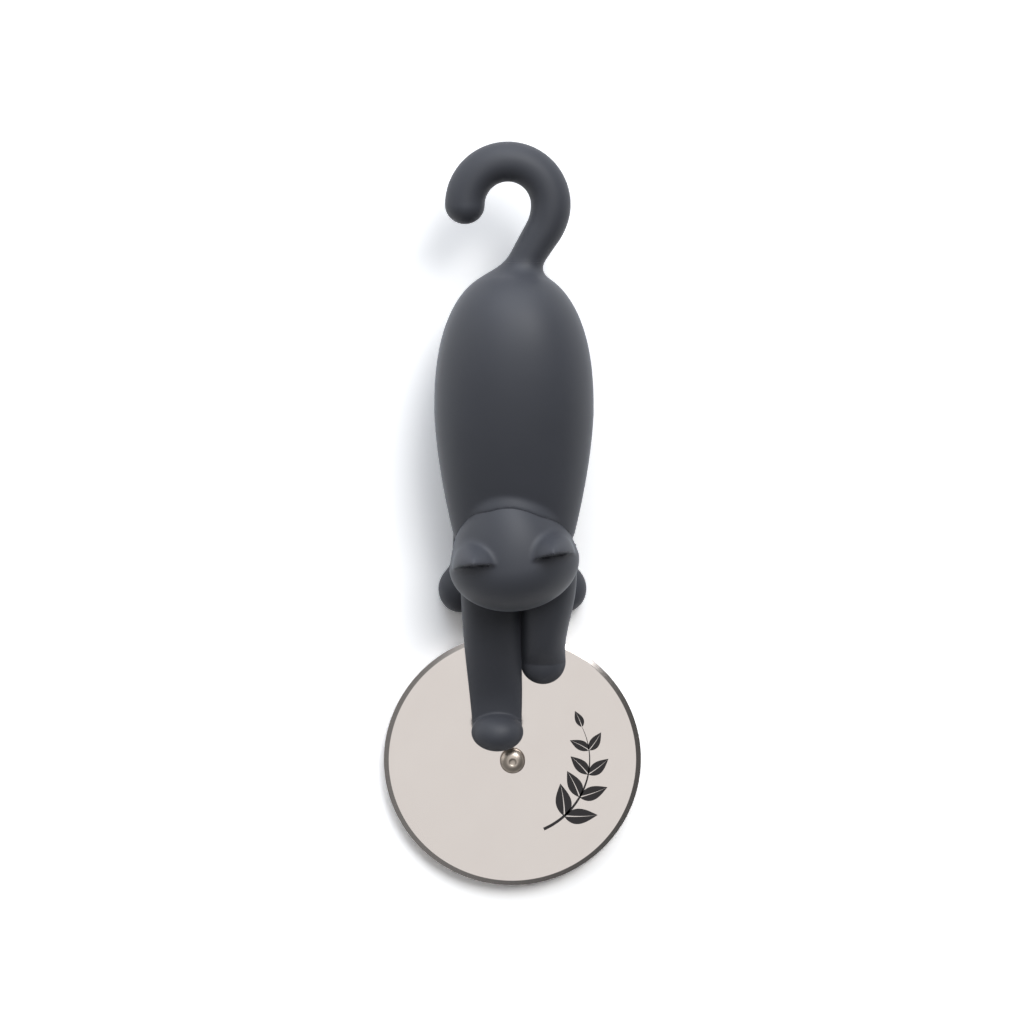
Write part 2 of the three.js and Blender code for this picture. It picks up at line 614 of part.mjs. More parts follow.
function bellyShell() {
  const bare = walls.intersect(below(shellTop));
  const room = hollow.intersect(below(shellTop)).add(bare);
  const headBore = SCREW_HEAD_RADIUS + SCREW_CLEARANCE;
  const withColumns = shellScrews.reduce((shell, along) => {
    const column = rodAt(along, headBore + WALL / 2, BELLY_HEIGHT, shellTop).intersect(room);
    const bore = rodAt(along, SCREW_RADIUS + SCREW_CLEARANCE, 0, PARTING_HEIGHT);
    return shell.add(column).subtract(rodAt(along, headBore, 0, counterboreTop)).subtract(bore);
  }, bare);
  const withBosses = armScrews.reduce((shell, along) => {
    const boss = rodAt(along, SCREW_RADIUS + BOSS_WALL, BELLY_HEIGHT + PILOT_FLOOR, tangBottom).intersect(room);
    const pilot = rodAt(along, SCREW_RADIUS + RUNNING_CLEARANCE, BELLY_HEIGHT + PILOT_FLOOR, tangTop);
    return shell.add(boss).subtract(pilot);
  }, withColumns);
  const armSlot = armForm(SEAT_GAP).intersect(above(tangBottom));
  return [-1, 1].reduce((shell, side) => {
    return shell.subtract(forelegPeg(side, SEAT_GAP)).subtract(hindPeg(side, SEAT_GAP));
  }, withBosses.subtract(armSlot));
}

// Head, tail and legs

function head() {
  const neck = pegAlong(neckStart, AHEAD, NECK_RADIUS, neckEnd + FLANGE_THICKNESS - neckStart.y);
  const flangeStart = new THREE.Vector3(0, neckEnd, PARTING_HEIGHT);
  const flange = pegAlong(flangeStart, AHEAD, NECK_RADIUS + NECK_FLANGE_RIM, FLANGE_THICKNESS);
  return headForm(0).add(neck).add(flange);
}

function tailHook() {
  return tailForm(TAIL_RADIUS).add(tailFlange(0));
}

function leftForeleg() {
  const edge = LEG_SPLIT - LEG_GAP / 2;
  const [underside, wristLow] = [tangTop + LEG_ARM_GAP, soleHeight + WRIST_RISE];
  const [wide, slim] = [SHOULDER_HALF_WIDTH, WRIST_HALF_WIDTH];
  const elbowTop = SHOULDER_HEIGHT - ELBOW_DROP;
  const wristPlace = pawPlace.y + 2 * PAW_HALF_LENGTH;
  const stations = [
    station(edge - wide, chest + SHOULDER_SETBACK, wide, underside, SHOULDER_HEIGHT),
    station(edge - wide, chest - SHOULDER_REACH, wide, underside, SHOULDER_HEIGHT),
    station(edge - ELBOW_HALF_WIDTH, rim, ELBOW_HALF_WIDTH, soleHeight + LEG_ARM_GAP, elbowTop),
    station(WRIST_OFFSET, wristPlace, slim, wristLow, wristLow + WRIST_HEIGHT),
    station(pawPlace.x, pawPlace.y, slim - WRIST_RISE, wristLow, wristLow + PAW_HALF_LENGTH),
  ];
  const paw = ellipsoid(pawPlace, PAW_HALF_WIDTH, PAW_HALF_LENGTH, PAW_HEIGHT / 2, ROUND_SIDES);
  const leg = limb(stations, SEAT_GAP, PAW_RIVET_GAP).add(paw).subtract(below(soleHeight));
  return leg.subtract(torsoClear).add(forelegPeg(-1, 0)).subtract(headClear);
}

function rightForeleg() {
  const edge = LEG_SPLIT + LEG_GAP / 2;
  const [underside, low] = [tangTop + LEG_ARM_GAP, soleHeight - SOLE_CUT];
  const [wide, slim] = [RIGHT_SHOULDER_HALF_WIDTH, RIGHT_LEG_HALF_WIDTH];
  const stations = [
    station(edge + wide, chest + SHOULDER_SETBACK, wide, underside, SHOULDER_HEIGHT),
    station(edge + wide, chest - SHOULDER_REACH, wide, underside, SHOULDER_HEIGHT),
    station(edge + slim, rim, slim, low + SOLE_CUT, SHOULDER_HEIGHT - RIGHT_ELBOW_DROP),
    station(edge + slim, RIGHT_LEG_REACH + slim, slim, low, SHOULDER_HEIGHT - RIGHT_WRIST_DROP),
  ];
  const leg = limb(stations, SEAT_GAP, slim).subtract(below(soleHeight));
  return leg.subtract(torsoClear).add(forelegPeg(1, 0)).subtract(headClear);
}

function hindLeg(side) {
  const stations = [HIP, THIGH, HOCK, SHANK, ANKLE, INSTEP].map(({ back, inset, halfWidth, low, high }) => {
    return station(side * (hindPawOffset - inset), toes + back, halfWidth, low, high);
  });
  const middle = new THREE.Vector3(
    side * hindPawOffset,
    toes + HIND_PAW_HALF_LENGTH,
    HIND_PAW_HEIGHT / 2 - SOLE_CUT,
  );
  const paw = ellipsoid(middle, HIND_PAW_HALF_WIDTH, HIND_PAW_HALF_LENGTH, HIND_PAW_HEIGHT / 2, ROUND_SIDES);
  const leg = limb(stations, HIP_ROUND, SEAT_GAP).add(paw).subtract(below(0));
  return leg.subtract(torsoClear).add(hindPeg(side, 0));
}

// Arm, axle and wheel

function wheelArm() {
  const pierced = armForm(0).subtract(rodAt(0, TENON_RADIUS + RUNNING_CLEARANCE, 0, tangTop, ROUND_SIDES));
  return armScrews.reduce((arm, along) => {
    return arm.subtract(rodAt(along, SCREW_RADIUS + SCREW_CLEARANCE, 0, PARTING_HEIGHT));
  }, pierced);
}

function wheelBlade() {
  const [bore, flat] = [bushRadius + RUNNING_CLEARANCE, rim - BEVEL_WIDTH];
  const bevel = (BLADE_THICKNESS - EDGE_THICKNESS) / 2;
  const lower = [[bore, bladeBottom], [flat, bladeBottom], [rim, bladeBottom + bevel]];
  const upper = [[rim, bladeTop - bevel], [flat, bladeTop], [bore, bladeTop]];
  return spindle([...lower, ...upper, lower[0]], WHEEL_SIDES);
}

function wheelBush() {
  const flange = bushRadius + BUSH_FLANGE_RIM;
  const lower = [[axleBore, bushBottom], [flange, bushBottom], [flange, bladeBottom]];
  const sleeve = [[bushRadius, bladeBottom], [bushRadius, bushTop], [axleBore, bushTop]];
  return spindle([...lower, ...sleeve, lower[0]]);
}

function axleRivet() {
  const [tailRadius, tailTop] = [RIVET_TAIL_RADIUS, RIVET_TAIL_HEIGHT];
  const tail = [[0, 0], [tailRadius - RIVET_TAIL_ROUND, 0], [tailRadius, RIVET_TAIL_ROUND]];
  const tenon = [[tailRadius, tailTop], [TENON_RADIUS, tailTop], [TENON_RADIUS, armTop]];
  const shank = [[AXLE_RADIUS, armTop], [AXLE_RADIUS, rivetSeat], [RIVET_HEAD_RADIUS, rivetSeat]];
  const dome = [0, 0.25, 0.5, 0.75, 1].map((share) => {
    const angle = (share * Math.PI) / 2;
    const radius = RIVET_DIMPLE_RADIUS + (RIVET_HEAD_RADIUS - RIVET_DIMPLE_RADIUS) * Math.cos(angle);
    return [radius, rivetSeat + RIVET_HEAD_EDGE + (RIVET_HEAD_HEIGHT - RIVET_HEAD_EDGE) * Math.sin(angle)];
  });
  const dimpleFloor = rivetSeat + RIVET_HEAD_HEIGHT - RIVET_DIMPLE_DEPTH;
  const dimple = [[RIVET_DIMPLE_RADIUS - RIVET_DIMPLE_DEPTH, dimpleFloor], [0, dimpleFloor]];
  return spindle([...tail, ...tenon, ...shank, ...dome, ...dimple]);
}

function rearWasher() {
  return ring(axleBore, bushRadius + BUSH_FLANGE_RIM, armTop, rearWasherTop);
}

function frontWasher() {
  return ring(axleBore, axleBore + FRONT_WASHER_RIM, frontWasherBottom, rivetSeat);
}

// A pan-head screw: the head bears at height 0 and the shank runs up.
function screw(length) {
  const crown = SCREW_HEAD_RADIUS - SCREW_HEAD_ROUND;
  const headSide = [[0, -SCREW_HEAD_HEIGHT], [crown, -SCREW_HEAD_HEIGHT]];
  headSide.push([SCREW_HEAD_RADIUS, SCREW_HEAD_ROUND - SCREW_HEAD_HEIGHT], [SCREW_HEAD_RADIUS, 0]);
  const shank = [[SCREW_RADIUS, 0], [SCREW_RADIUS, length - SCREW_RADIUS]];
  return spindle([...headSide, ...shank, [SCREW_TIP_RADIUS, length], [0, length]], BORE_SIDES);
}

// Materials

function softTouch() {
  return new THREE.MeshStandardMaterial({ color: 0x4c4f56, roughness: 0.6, metalness: 0 });
}

function polishedSteel() {
  return new THREE.MeshStandardMaterial({ color: 0xd6cdc8, roughness: 0.15, metalness: 1 });
}

function bearingPlastic() {
  return new THREE.MeshStandardMaterial({ color: 0xe6e4dc, roughness: 0.45, metalness: 0 });
}

// The assembly

const cutter = new THREE.Group();

function put(name, solid, material) {
  const mesh = new THREE.Mesh(geometryOf(solid), material);
  mesh.name = name;
  cutter.add(mesh);
  return mesh;
}

put("back_shell", backShell(), softTouch());
put("belly_shell", bellyShell(), softTouch());
put("head", head(), softTouch());
put("tail_hook", tailHook(), softTouch());
put("left_foreleg", leftForeleg(), softTouch());
put("right_foreleg", rightForeleg(), softTouch());
put("left_hind_leg", hindLeg(-1), softTouch());
put("right_hind_leg", hindLeg(1), softTouch());
put("wheel_arm", wheelArm(), polishedSteel());
put("wheel_blade", wheelBlade(), polishedSteel());
put("wheel_bush", wheelBush(), bearingPlastic());
put("axle_rivet", axleRivet(), polishedSteel());
put("rear_washer", rearWasher(), bearingPlastic());
put("front_washer", frontWasher(), bearingPlastic());
["arm_screw_front", "arm_screw_rear"].forEach((name, n) => {
  const mesh = put(name, screw(ARM_SCREW_LENGTH), polishedSteel());
  mesh.position.set(0, armScrews[n], tangTop);
  mesh.rotation.x = Math.PI;
});
["shell_screw_front", "shell_screw_rear"].forEach((name, n) => {
  const mesh = put(name, screw(SHELL_SCREW_LENGTH), polishedSteel());
  mesh.position.set(0, shellScrews[n], counterboreTop);
});

export default cutter;
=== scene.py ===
# %% [markdown]
# # A pizza cutter whose handle is a stalking cat
# The tool is a soft-touch plastic cat that reaches out over a steel wheel. The torso is the grip, the
# curled tail is the hanging hook, and a cranked steel arm under the legs carries the wheel. This lesson
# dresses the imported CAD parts: every moulding is meshed again, smooth, from a formula, and the steel gets
# fine turned forms.

# %% Load the frame
import math
from collections import namedtuple

import bmesh
import bpy
import numpy as np
from mathutils import Matrix, Vector


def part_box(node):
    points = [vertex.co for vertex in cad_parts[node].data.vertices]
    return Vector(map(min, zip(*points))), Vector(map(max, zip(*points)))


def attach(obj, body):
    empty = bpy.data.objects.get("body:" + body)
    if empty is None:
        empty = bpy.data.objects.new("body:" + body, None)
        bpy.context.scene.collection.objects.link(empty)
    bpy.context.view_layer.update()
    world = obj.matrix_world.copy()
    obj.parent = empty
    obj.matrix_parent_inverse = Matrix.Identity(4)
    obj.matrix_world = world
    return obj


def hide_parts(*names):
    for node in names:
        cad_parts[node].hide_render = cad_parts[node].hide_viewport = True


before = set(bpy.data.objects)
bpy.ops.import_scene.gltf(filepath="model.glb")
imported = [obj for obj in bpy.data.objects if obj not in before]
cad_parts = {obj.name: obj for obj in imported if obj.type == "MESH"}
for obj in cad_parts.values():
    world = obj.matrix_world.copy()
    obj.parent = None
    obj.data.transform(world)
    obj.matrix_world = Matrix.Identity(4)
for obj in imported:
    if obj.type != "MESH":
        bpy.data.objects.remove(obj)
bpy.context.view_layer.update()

MM = 0.001

# %% [markdown]
# ## Sizes
# Blender works in metres, but a hand tool is easier to think of in millimetres, so all forms here are
# worked out in millimetres and become metres when a mesh is made. Places come from the frame wherever a
# CAD part's box gives them.


# %% Places from the frame
def span(node):
    """The lowest and highest corner of a CAD part, in millimetres."""
    low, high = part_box(node)
    return low / MM, high / MM


belly_low, belly_high = span("belly_shell")
back_low, back_high = span("back_shell")
blade_low, blade_high = span("wheel_blade")
_, rivet_high = span("axle_rivet")
arm_low, arm_high = span("wheel_arm")
head_low, _ = span("head")
tail_low, tail_high = span("tail_hook")
left_low, _ = span("left_foreleg")
right_low, _ = span("right_foreleg")

HAIRLINE = 0.1  # what shows between two mouldings that meet
LET_IN = 0.35  # how far a moulding's rim is let into the moulding that it closes on
MARGIN = 1.0  # round a form, of the box that it is meshed in
parting = (belly_high.z + back_low.z) / 2
rim = blade_high.x
sole = left_low.z
print(f"parting line at {parting:.2f}, wheel radius {rim:.2f}, forepaw sole at {sole:.2f}")

# %% [markdown]
# ## Camera
# The photograph looks down on the tool, and the wheel, which is round, shows as a slightly flattened
# circle. That gives the lean of the camera. The camera object is a plain matrix of three directions and a
# place.

# %% Camera
CAMERA_LEAN = 8.0  # degrees from straight down, towards the tail
CAMERA_YAW = -1.0  # degrees, towards the left
CAMERA_DISTANCE = 800.0
FIELD_OF_VIEW = 19.063  # degrees
LOOK_AT = Vector((-0.49, 71.01, 24.99))


def add_camera():
    lean, yaw = math.radians(CAMERA_LEAN), math.radians(CAMERA_YAW)
    back = Vector((math.sin(yaw), math.sin(lean) * math.cos(yaw), math.cos(lean) * math.cos(yaw)))
    right = Vector((math.cos(yaw), 0, -math.sin(yaw)))
    right = (right - back * right.dot(back)).normalized()
    up = back.cross(right)
    lens = bpy.data.cameras.new("photo_camera")
    lens.angle = math.radians(FIELD_OF_VIEW)
    camera = bpy.data.objects.new("photo_camera", lens)
    turn = Matrix((right, up, back)).transposed().to_4x4()
    camera.matrix_world = Matrix.Translation((LOOK_AT + back * CAMERA_DISTANCE) * MM) @ turn
    bpy.context.scene.collection.objects.link(camera)
    bpy.context.scene.camera = camera


add_camera()
bpy.context.scene.view_settings.view_transform = "Standard"
print("camera stands at", [round(v, 3) for v in bpy.context.scene.camera.matrix_world.translation])

# %% [markdown]
# ## Writing node trees as sums
# A material is easier to read as an expression than as boxes and links. Wire wraps one output socket, and
# adding or multiplying wires adds Math nodes. Graph.node makes every other kind of node: it takes the
# node's type, its settings and what goes into its sockets. The same two classes write materials, the sky
# and the geometry trees.


# %% Wires and graphs
class Wire:
    """One output socket of a node tree; sums and products of wires add Math nodes."""

    def __init__(self, graph, socket):
        self.graph = graph
        self.socket = socket

    def __add__(self, other):
        return self.graph.maths("ADD", self, other)

    def __sub__(self, other):
        return self.graph.maths("SUBTRACT", self, other)

    def __rsub__(self, other):
        return self.graph.maths("SUBTRACT", other, self)

    def __mul__(self, other):
        return self.graph.maths("MULTIPLY", self, other)

    def __truediv__(self, other):
        return self.graph.maths("DIVIDE", self, other)

    def __pow__(self, other):
        return self.graph.maths("POWER", self, other)

    __radd__ = __add__
    __rmul__ = __mul__


class Graph:
    """A node tree that is written by calls of node()."""

    def __init__(self, tree):
        self.tree = tree
        tree.nodes.clear()

    def node(self, kind, settings=None, sockets=None, output=0):
        """Adds a node; sockets is a list in the node's order or a dict by name, and None skips a socket."""
        made = self.tree.nodes.new(kind)
        for name, value in (settings or {}).items():
            setattr(made, name, value)
        pairs = sockets.items() if isinstance(sockets, dict) else enumerate(sockets or [])
        for key, value in pairs:
            if isinstance(value, Wire):
                self.tree.links.new(value.socket, made.inputs[key])
            elif value is not None:
                made.inputs[key].default_value = value
        return Wire(self, made.outputs[output]) if made.outputs else None

    def maths(self, operation, *values):
        return self.node("ShaderNodeMath", {"operation": operation}, list(values))

    def noise(self, place, cells, detail=2.0):
        """Noise with so many cells in one unit of the place, which is a metre unless it was stretched."""
        return self.node("ShaderNodeTexNoise", None, {"Vector": place, "Scale": cells, "Detail": detail})

    def ramp(self, value, low, high, start=0.0, end=1.0):
        """The value carried smoothly from the range low to high over to the range start to end."""
        return self.node(
            "ShaderNodeMapRange", {"interpolation_type": "SMOOTHSTEP"}, [value, low, high, start, end]
        )

    def blend(self, share, first, second):
        """A colour mixed from two colours, which the Mix node takes in its sockets 6 and 7."""
        settings = {"data_type": "RGBA"}
        return self.node("ShaderNodeMix", settings, {0: share, 6: first, 7: second}, output=2)

    def bump(self, height, distance, strength):
        sockets = {"Strength": strength, "Distance": distance, "Height": height}
        return self.node("ShaderNodeBump", None, sockets)

    def vector(self, x, y, z):
        return self.node("ShaderNodeCombineXYZ", None, [x, y, z])

    def vector_maths(self, operation, *values, output=0):
        return self.node("ShaderNodeVectorMath", {"operation": operation}, list(values), output)

    def parts(self, vector):
        """The X, Y and Z of a vector, as three wires."""
        split = self.node("ShaderNodeSeparateXYZ", None, [vector]).socket.node
        return [Wire(self, socket) for socket in split.outputs]

    def joined(self, pieces):
        """Several geometries in one, through the single socket of a Join Geometry node."""
        whole = self.node("GeometryNodeJoinGeometry")
        for piece in pieces:
            self.tree.links.new(piece.socket, whole.socket.node.inputs[0])
        return whole

    def rays(self, *kinds):
        """1 for light paths of these kinds and 0 for others."""
        paths = self.node("ShaderNodeLightPath").socket.node.outputs
        first, *others = [Wire(self, paths[f"Is {kind} Ray"]) for kind in kinds]
        return sum(others, first)


def display(red, green, blue):
    """A linear colour from the 0 to 255 numbers that a screen shows, by the sRGB curve."""
    shares = [channel / 255 for channel in (red, green, blue)]
    return (*[((share + 0.055) / 1.055) ** 2.4 for share in shares], 1.0)


# %% [markdown]
# ## Finishes
# Each finish is a short function. It reads Object coordinates, which are the frame's own metres, so a
# pattern has a real size. Only colour, roughness and the bump vary over a surface, and what is the same
# all over is set on the shader's own sockets.


# %% A finish from its varying and constant values
OBJECT_PLACE = 3  # the Texture Coordinate node's output of Object coordinates


def finish(name, write, **constants):
    """A material: write(graph, place) returns the varying sockets, and constants set the others."""
    material = bpy.data.materials.new(name)
    material.use_nodes = True
    graph = Graph(material.node_tree)
    place = graph.node("ShaderNodeTexCoord", output=OBJECT_PLACE)
    constant = {key.replace("_", " "): value for key, value in constants.items()}
    shader = graph.node("ShaderNodeBsdfPrincipled", None, {**constant, **write(graph, place)})
    graph.node("ShaderNodeOutputMaterial", None, {"Surface": shader})
    return material


# %% [markdown]
# ### Soft-touch plastic
# The cat wears a rubbery charcoal paint over plastic. It is matt, with a bloom where the surface turns
# away from the eye. A bloom like that is what the shader's sheen is for. A fine orange-peel grain breaks
# the highlights, and the colour wanders slightly, as a sprayed coat does.

# %% Soft-touch plastic
GRAIN_SIZE = 0.00022
GRAIN_HEIGHT = 0.000012
CLOUD_SIZE = 0.018
CHARCOAL_TONES = display(63, 65, 71), display(69, 71, 78)
BLOOM_TONE = display(205, 215, 228)


def soft_touch():
    def write(graph, place):
        grain = graph.noise(place, 1 / GRAIN_SIZE, 3.0)
        cloud = graph.noise(place, 1 / CLOUD_SIZE)
        return {
            "Base Color": graph.blend(cloud, *CHARCOAL_TONES),
            "Roughness": 0.46 + grain * 0.1 + cloud * 0.06,
            "Normal": graph.bump(grain, GRAIN_HEIGHT, 0.5),
        }

    return finish(
        "soft_touch_charcoal",
        write,
        Sheen_Weight=0.2,
        Sheen_Roughness=0.3,
        Sheen_Tint=BLOOM_TONE,
        Specular_IOR_Level=0.42,
    )


charcoal = soft_touch()
print("made", charcoal.name)

# %% [markdown]
# ### Polished blade steel
# The blade was turned against a buffing wheel, so its face holds faint rings round the axle. The bevel
# was ground across, so its marks run outwards. Both patterns come from the place on the disc: the
# distance from the axle for the rings, and the direction for the grinding. The bevel is duller than the
# face, and the change is sharp.

# %% Polished blade steel
RING_PITCH = 0.00035
RING_DRIFT = 0.4  # how fast a ring changes on its way round
BEVEL_WIDTH = 1.3
BEVEL_BLUR = 0.00004
GRIND_MARKS = 420.0  # round the rim
GRIND_DRIFT = 300.0  # how fast a mark changes on its way out, in a metre
POLISH_HEIGHT = 0.000001
FACE_TONES = display(214, 206, 201), display(219, 212, 207)
BEVEL_TONES = display(200, 194, 190), display(212, 206, 202)


def blade_steel():
    def write(graph, place):
        x, y, _ = graph.parts(place)
        radius = graph.maths("SQRT", x * x + y * y)
        angle = graph.maths("ARCTAN2", y, x)
        rings = graph.noise(graph.vector(radius / RING_PITCH, angle * RING_DRIFT, 0.0), 1.0, 3.0)
        marks = graph.noise(graph.vector(angle * GRIND_MARKS / math.tau, radius * GRIND_DRIFT, 0.0), 1.0)
        haze = graph.noise(place, 90.0)
        flat = (rim - BEVEL_WIDTH) * MM
        bevel = graph.ramp(radius, flat - BEVEL_BLUR, flat + BEVEL_BLUR)
        face_tone = graph.blend(haze, *FACE_TONES)
        bevel_tone = graph.blend(marks, *BEVEL_TONES)
        face_gloss = 0.1 + rings * 0.05 + haze * 0.02
        bevel_gloss = 0.14 + marks * 0.06
        height = rings * (1 - bevel) + marks * bevel
        return {
            "Base Color": graph.blend(bevel, face_tone, bevel_tone),
            "Roughness": face_gloss * (1 - bevel) + bevel_gloss * bevel,
            "Normal": graph.bump(height, POLISH_HEIGHT, 0.1),
        }

    return finish("polished_blade_steel", write, Metallic=1.0)


blade_finish = blade_steel()
print("made", blade_finish.name)

# %% [markdown]
# ### Rivet, arm and screw steel
# The rivet is a turned and headed piece of duller, warmer steel. The arm is strip that was brushed along
# its length, and the screws are plated, with a faint grain. Noise that is stretched along the strip gives
# the brushing.

# %% Rivet, arm and screw steel
RIVET_TONES = display(178, 166, 154), display(202, 192, 182)
ARM_TONES = display(178, 175, 171), display(205, 202, 198)
SCREW_TONES = display(182, 182, 180), display(210, 210, 208)
BRUSHING = (7000.0, 110.0, 7000.0)  # lines in a metre across the strip, along it and through it
BRUSHED_HEIGHT = 0.000006
STEEL_GRAIN_HEIGHT = 0.000004


def rivet_steel():
    def write(graph, place):
        cloud = graph.noise(place, 700.0, 3.0)
        fine = graph.noise(place, 5200.0)
        return {
            "Base Color": graph.blend(cloud, *RIVET_TONES),
            "Roughness": 0.3 + fine * 0.12,
            "Normal": graph.bump(fine, STEEL_GRAIN_HEIGHT, 0.4),
        }

    return finish("rivet_steel", write, Metallic=1.0)


def brushed_steel():
    def write(graph, place):
        lines = graph.noise(graph.vector_maths("MULTIPLY", place, BRUSHING), 1.0, 3.0)
        cloud = graph.noise(place, 60.0)
        return {
            "Base Color": graph.blend(lines, *ARM_TONES),
            "Roughness": 0.24 + lines * 0.14 + cloud * 0.05,
            "Normal": graph.bump(lines, BRUSHED_HEIGHT, 0.5),
        }

    return finish("brushed_arm_steel", write, Metallic=1.0)


def plated_steel():
    def write(graph, place):
        fine = graph.noise(place, 3000.0)
        return {
            "Base Color": graph.blend(fine, *SCREW_TONES),
            "Roughness": 0.2 + fine * 0.16,
            "Normal": graph.bump(fine, STEEL_GRAIN_HEIGHT, 0.4),
        }

    return finish("plated_screw_steel", write, Metallic=1.0)


rivet_finish = rivet_steel()
arm_finish = brushed_steel()
screw_finish = plated_steel()
print("made", rivet_finish.name, arm_finish.name, screw_finish.name)

# %% [markdown]
# ### Bearing plastic and printing ink
# The bush and washers are natural acetal, slightly waxy. The ink is a thin black screen print, which is
# matt beside the mirror of the steel and a little uneven where it was squeezed through the mesh.

# %% Bearing plastic and printing ink
ACETAL_TONES = display(222, 219, 208), display(234, 232, 223)
ACETAL_GRAIN_HEIGHT = 0.000005
INK_TONES = display(38, 35, 36), display(48, 45, 46)
INK_GRAIN_HEIGHT = 0.000003


def bearing_plastic():
    def write(graph, place):
        cloud = graph.noise(place, 900.0)
        return {
            "Base Color": graph.blend(cloud, *ACETAL_TONES),
            "Roughness": 0.36 + cloud * 0.12,
            "Normal": graph.bump(cloud, ACETAL_GRAIN_HEIGHT, 0.4),
        }

    return finish("bearing_acetal", write)


def printing_ink():
    def write(graph, place):
        mesh = graph.noise(place, 9000.0, 1.0)
        return {
            "Base Color": graph.blend(mesh, *INK_TONES),
            "Roughness": 0.42 + mesh * 0.16,
            "Normal": graph.bump(mesh, INK_GRAIN_HEIGHT, 0.4),
        }

    return finish("printing_ink", write, Specular_IOR_Level=0.4)


acetal = bearing_plastic()
ink = printing_ink()
print("made", acetal.name, ink.name)

# %% [markdown]
# ## Forms as fields
# A soft moulding has no edges to build from, so it is written as a field: a function that is negative
# inside, zero on the surface and about the distance from it elsewhere. Two fields join with a fillet, or
# one cuts another, by a smooth least value. Metaballs do something like it, but give no control over a
# section.

# %% Joining and cutting fields
def smooth_step(low, high, value):
    """A share that goes smoothly from 0 at low to 1 at high."""
    share = np.clip((value - low) / (high - low), 0, 1)
    return share * share * (3 - 2 * share)


def join(first, second, fillet):
    """Both forms, with a fillet where they meet."""
    share = np.clip(0.5 + 0.5 * (second - first) / fillet, 0, 1)
    return second + (first - second) * share - fillet * share * (1 - share)


def common(first, second, edge):
    """What the two forms share, with an edge rounded by about that much."""
    return -join(-first, -second, edge)


def cut(form, tool, edge):
    """The form without what the tool takes away."""
    return -join(-form, tool, edge)


def rolled(first, second, radius):
    """What the two forms share, with a true round edge of that radius."""
    first, second = first + radius, second + radius
    outside = np.hypot(np.maximum(first, 0), np.maximum(second, 0))
    return outside + np.minimum(np.maximum(first, second), 0) - radius


def swing(angle, first, second):
    """Two coordinates turned by an angle."""
    c, s = math.cos(angle), math.sin(angle)
    return c * first - s * second, s * first + c * second


LEAST_STEEPNESS = 1e-6  # keeps a division from going wrong where a field is level


def as_distance(ratio, steepest=5.0, step=0.05):
    """Turns a function that is 1 on a surface into one that is about the distance from it."""

    def distance(x, y, z):
        here = ratio(x, y, z)
        slopes = [ratio(x + step, y, z) - here, ratio(x, y + step, z) - here, ratio(x, y, z + step) - here]
        steepness = np.sqrt(sum(slope * slope for slope in slopes)) / step
        return (here - 1) / np.clip(steepness, LEAST_STEEPNESS, steepest)

    return distance


def ball(middle, across, along, up):
    """A ball stretched by its own amount along each axis."""

    def ratio(x, y, z):
        plan = np.hypot((x - middle[0]) / across, (y - middle[1]) / along)
        return np.hypot(plan, (z - middle[2]) / up)

    return as_distance(ratio)


# %% [markdown]
# ## From a field to a mesh
# A grid of small cells covers the form. Each cell that the surface passes through gets one corner, and
# each grid edge that crosses the surface gets a face between its four cells. The corners are then slid
# onto the exact surface and evened out, twice, so the faces are regular. Blender's volume nodes could do
# the first half, but not the sliding.

# %% Surface from a field
BLOCK = 4  # grid points along a block that is worked out only near the surface
LEAST_SLOPE = 0.1  # square of the slope below which points slide no faster


def grid_values(field, axes, spacing):
    """Field values on the grid. Blocks that are far from the surface take the value at their middle."""
    middles = [axis.reshape(-1, BLOCK).mean(1) for axis in axes]
    values = field(*np.meshgrid(*middles, indexing="ij"))
    near = np.abs(values) < 2 * BLOCK * spacing
    for axis in range(3):
        values = values.repeat(BLOCK, axis)
        near = near.repeat(BLOCK, axis)
    i, j, k = np.nonzero(near)
    values[near] = field(axes[0][i], axes[1][j], axes[2][k])
    return values


def net_faces(inside, number):
    """A face for every grid edge that crosses the surface, from the numbers of the four cells round it."""
    faces = []
    for axis in range(3):
        first, second = (axis + 1) % 3, (axis + 2) % 3
        here = np.take(inside, range(inside.shape[axis] - 1), axis)
        there = np.take(inside, range(1, inside.shape[axis]), axis)
        places = np.argwhere(here != there)
        leaving = here[tuple(places.T)]
        back, left = np.eye(3, dtype=int)[first], np.eye(3, dtype=int)[second]
        corners = [places - back - left, places - left, places, places - back]
        quads = np.stack([number[tuple(corner.T)] for corner in corners], 1)
        faces.append(np.where(leaving[:, None], quads, quads[:, ::-1]))
    return np.concatenate(faces)


def slide(points, field, spacing, step=0.02):
    """Points moved onto the field's surface along its slope."""
    x, y, z = points.T
    value = field(x, y, z)
    slope = [field(x + step, y, z) - value, field(x, y + step, z) - value, field(x, y, z + step) - value]
    slope = np.stack(slope, 1) / step
    size = np.maximum((slope * slope).sum(1), LEAST_SLOPE)
    far = np.clip(value / size, -spacing, spacing)
    return points - far[:, None] * slope


def even_out(points, faces):
    """Each point moved half way to the middle of its neighbours."""
    total = np.zeros_like(points)
    count = np.zeros(len(points))
    for turn in range(4):
        here, beside = faces[:, turn], faces[:, (turn + 1) % 4]
        for target, source in ((here, beside), (beside, here)):
            np.add.at(total, target, points[source])
            np.add.at(count, target, 1)
    return (points + total / count[:, None]) / 2


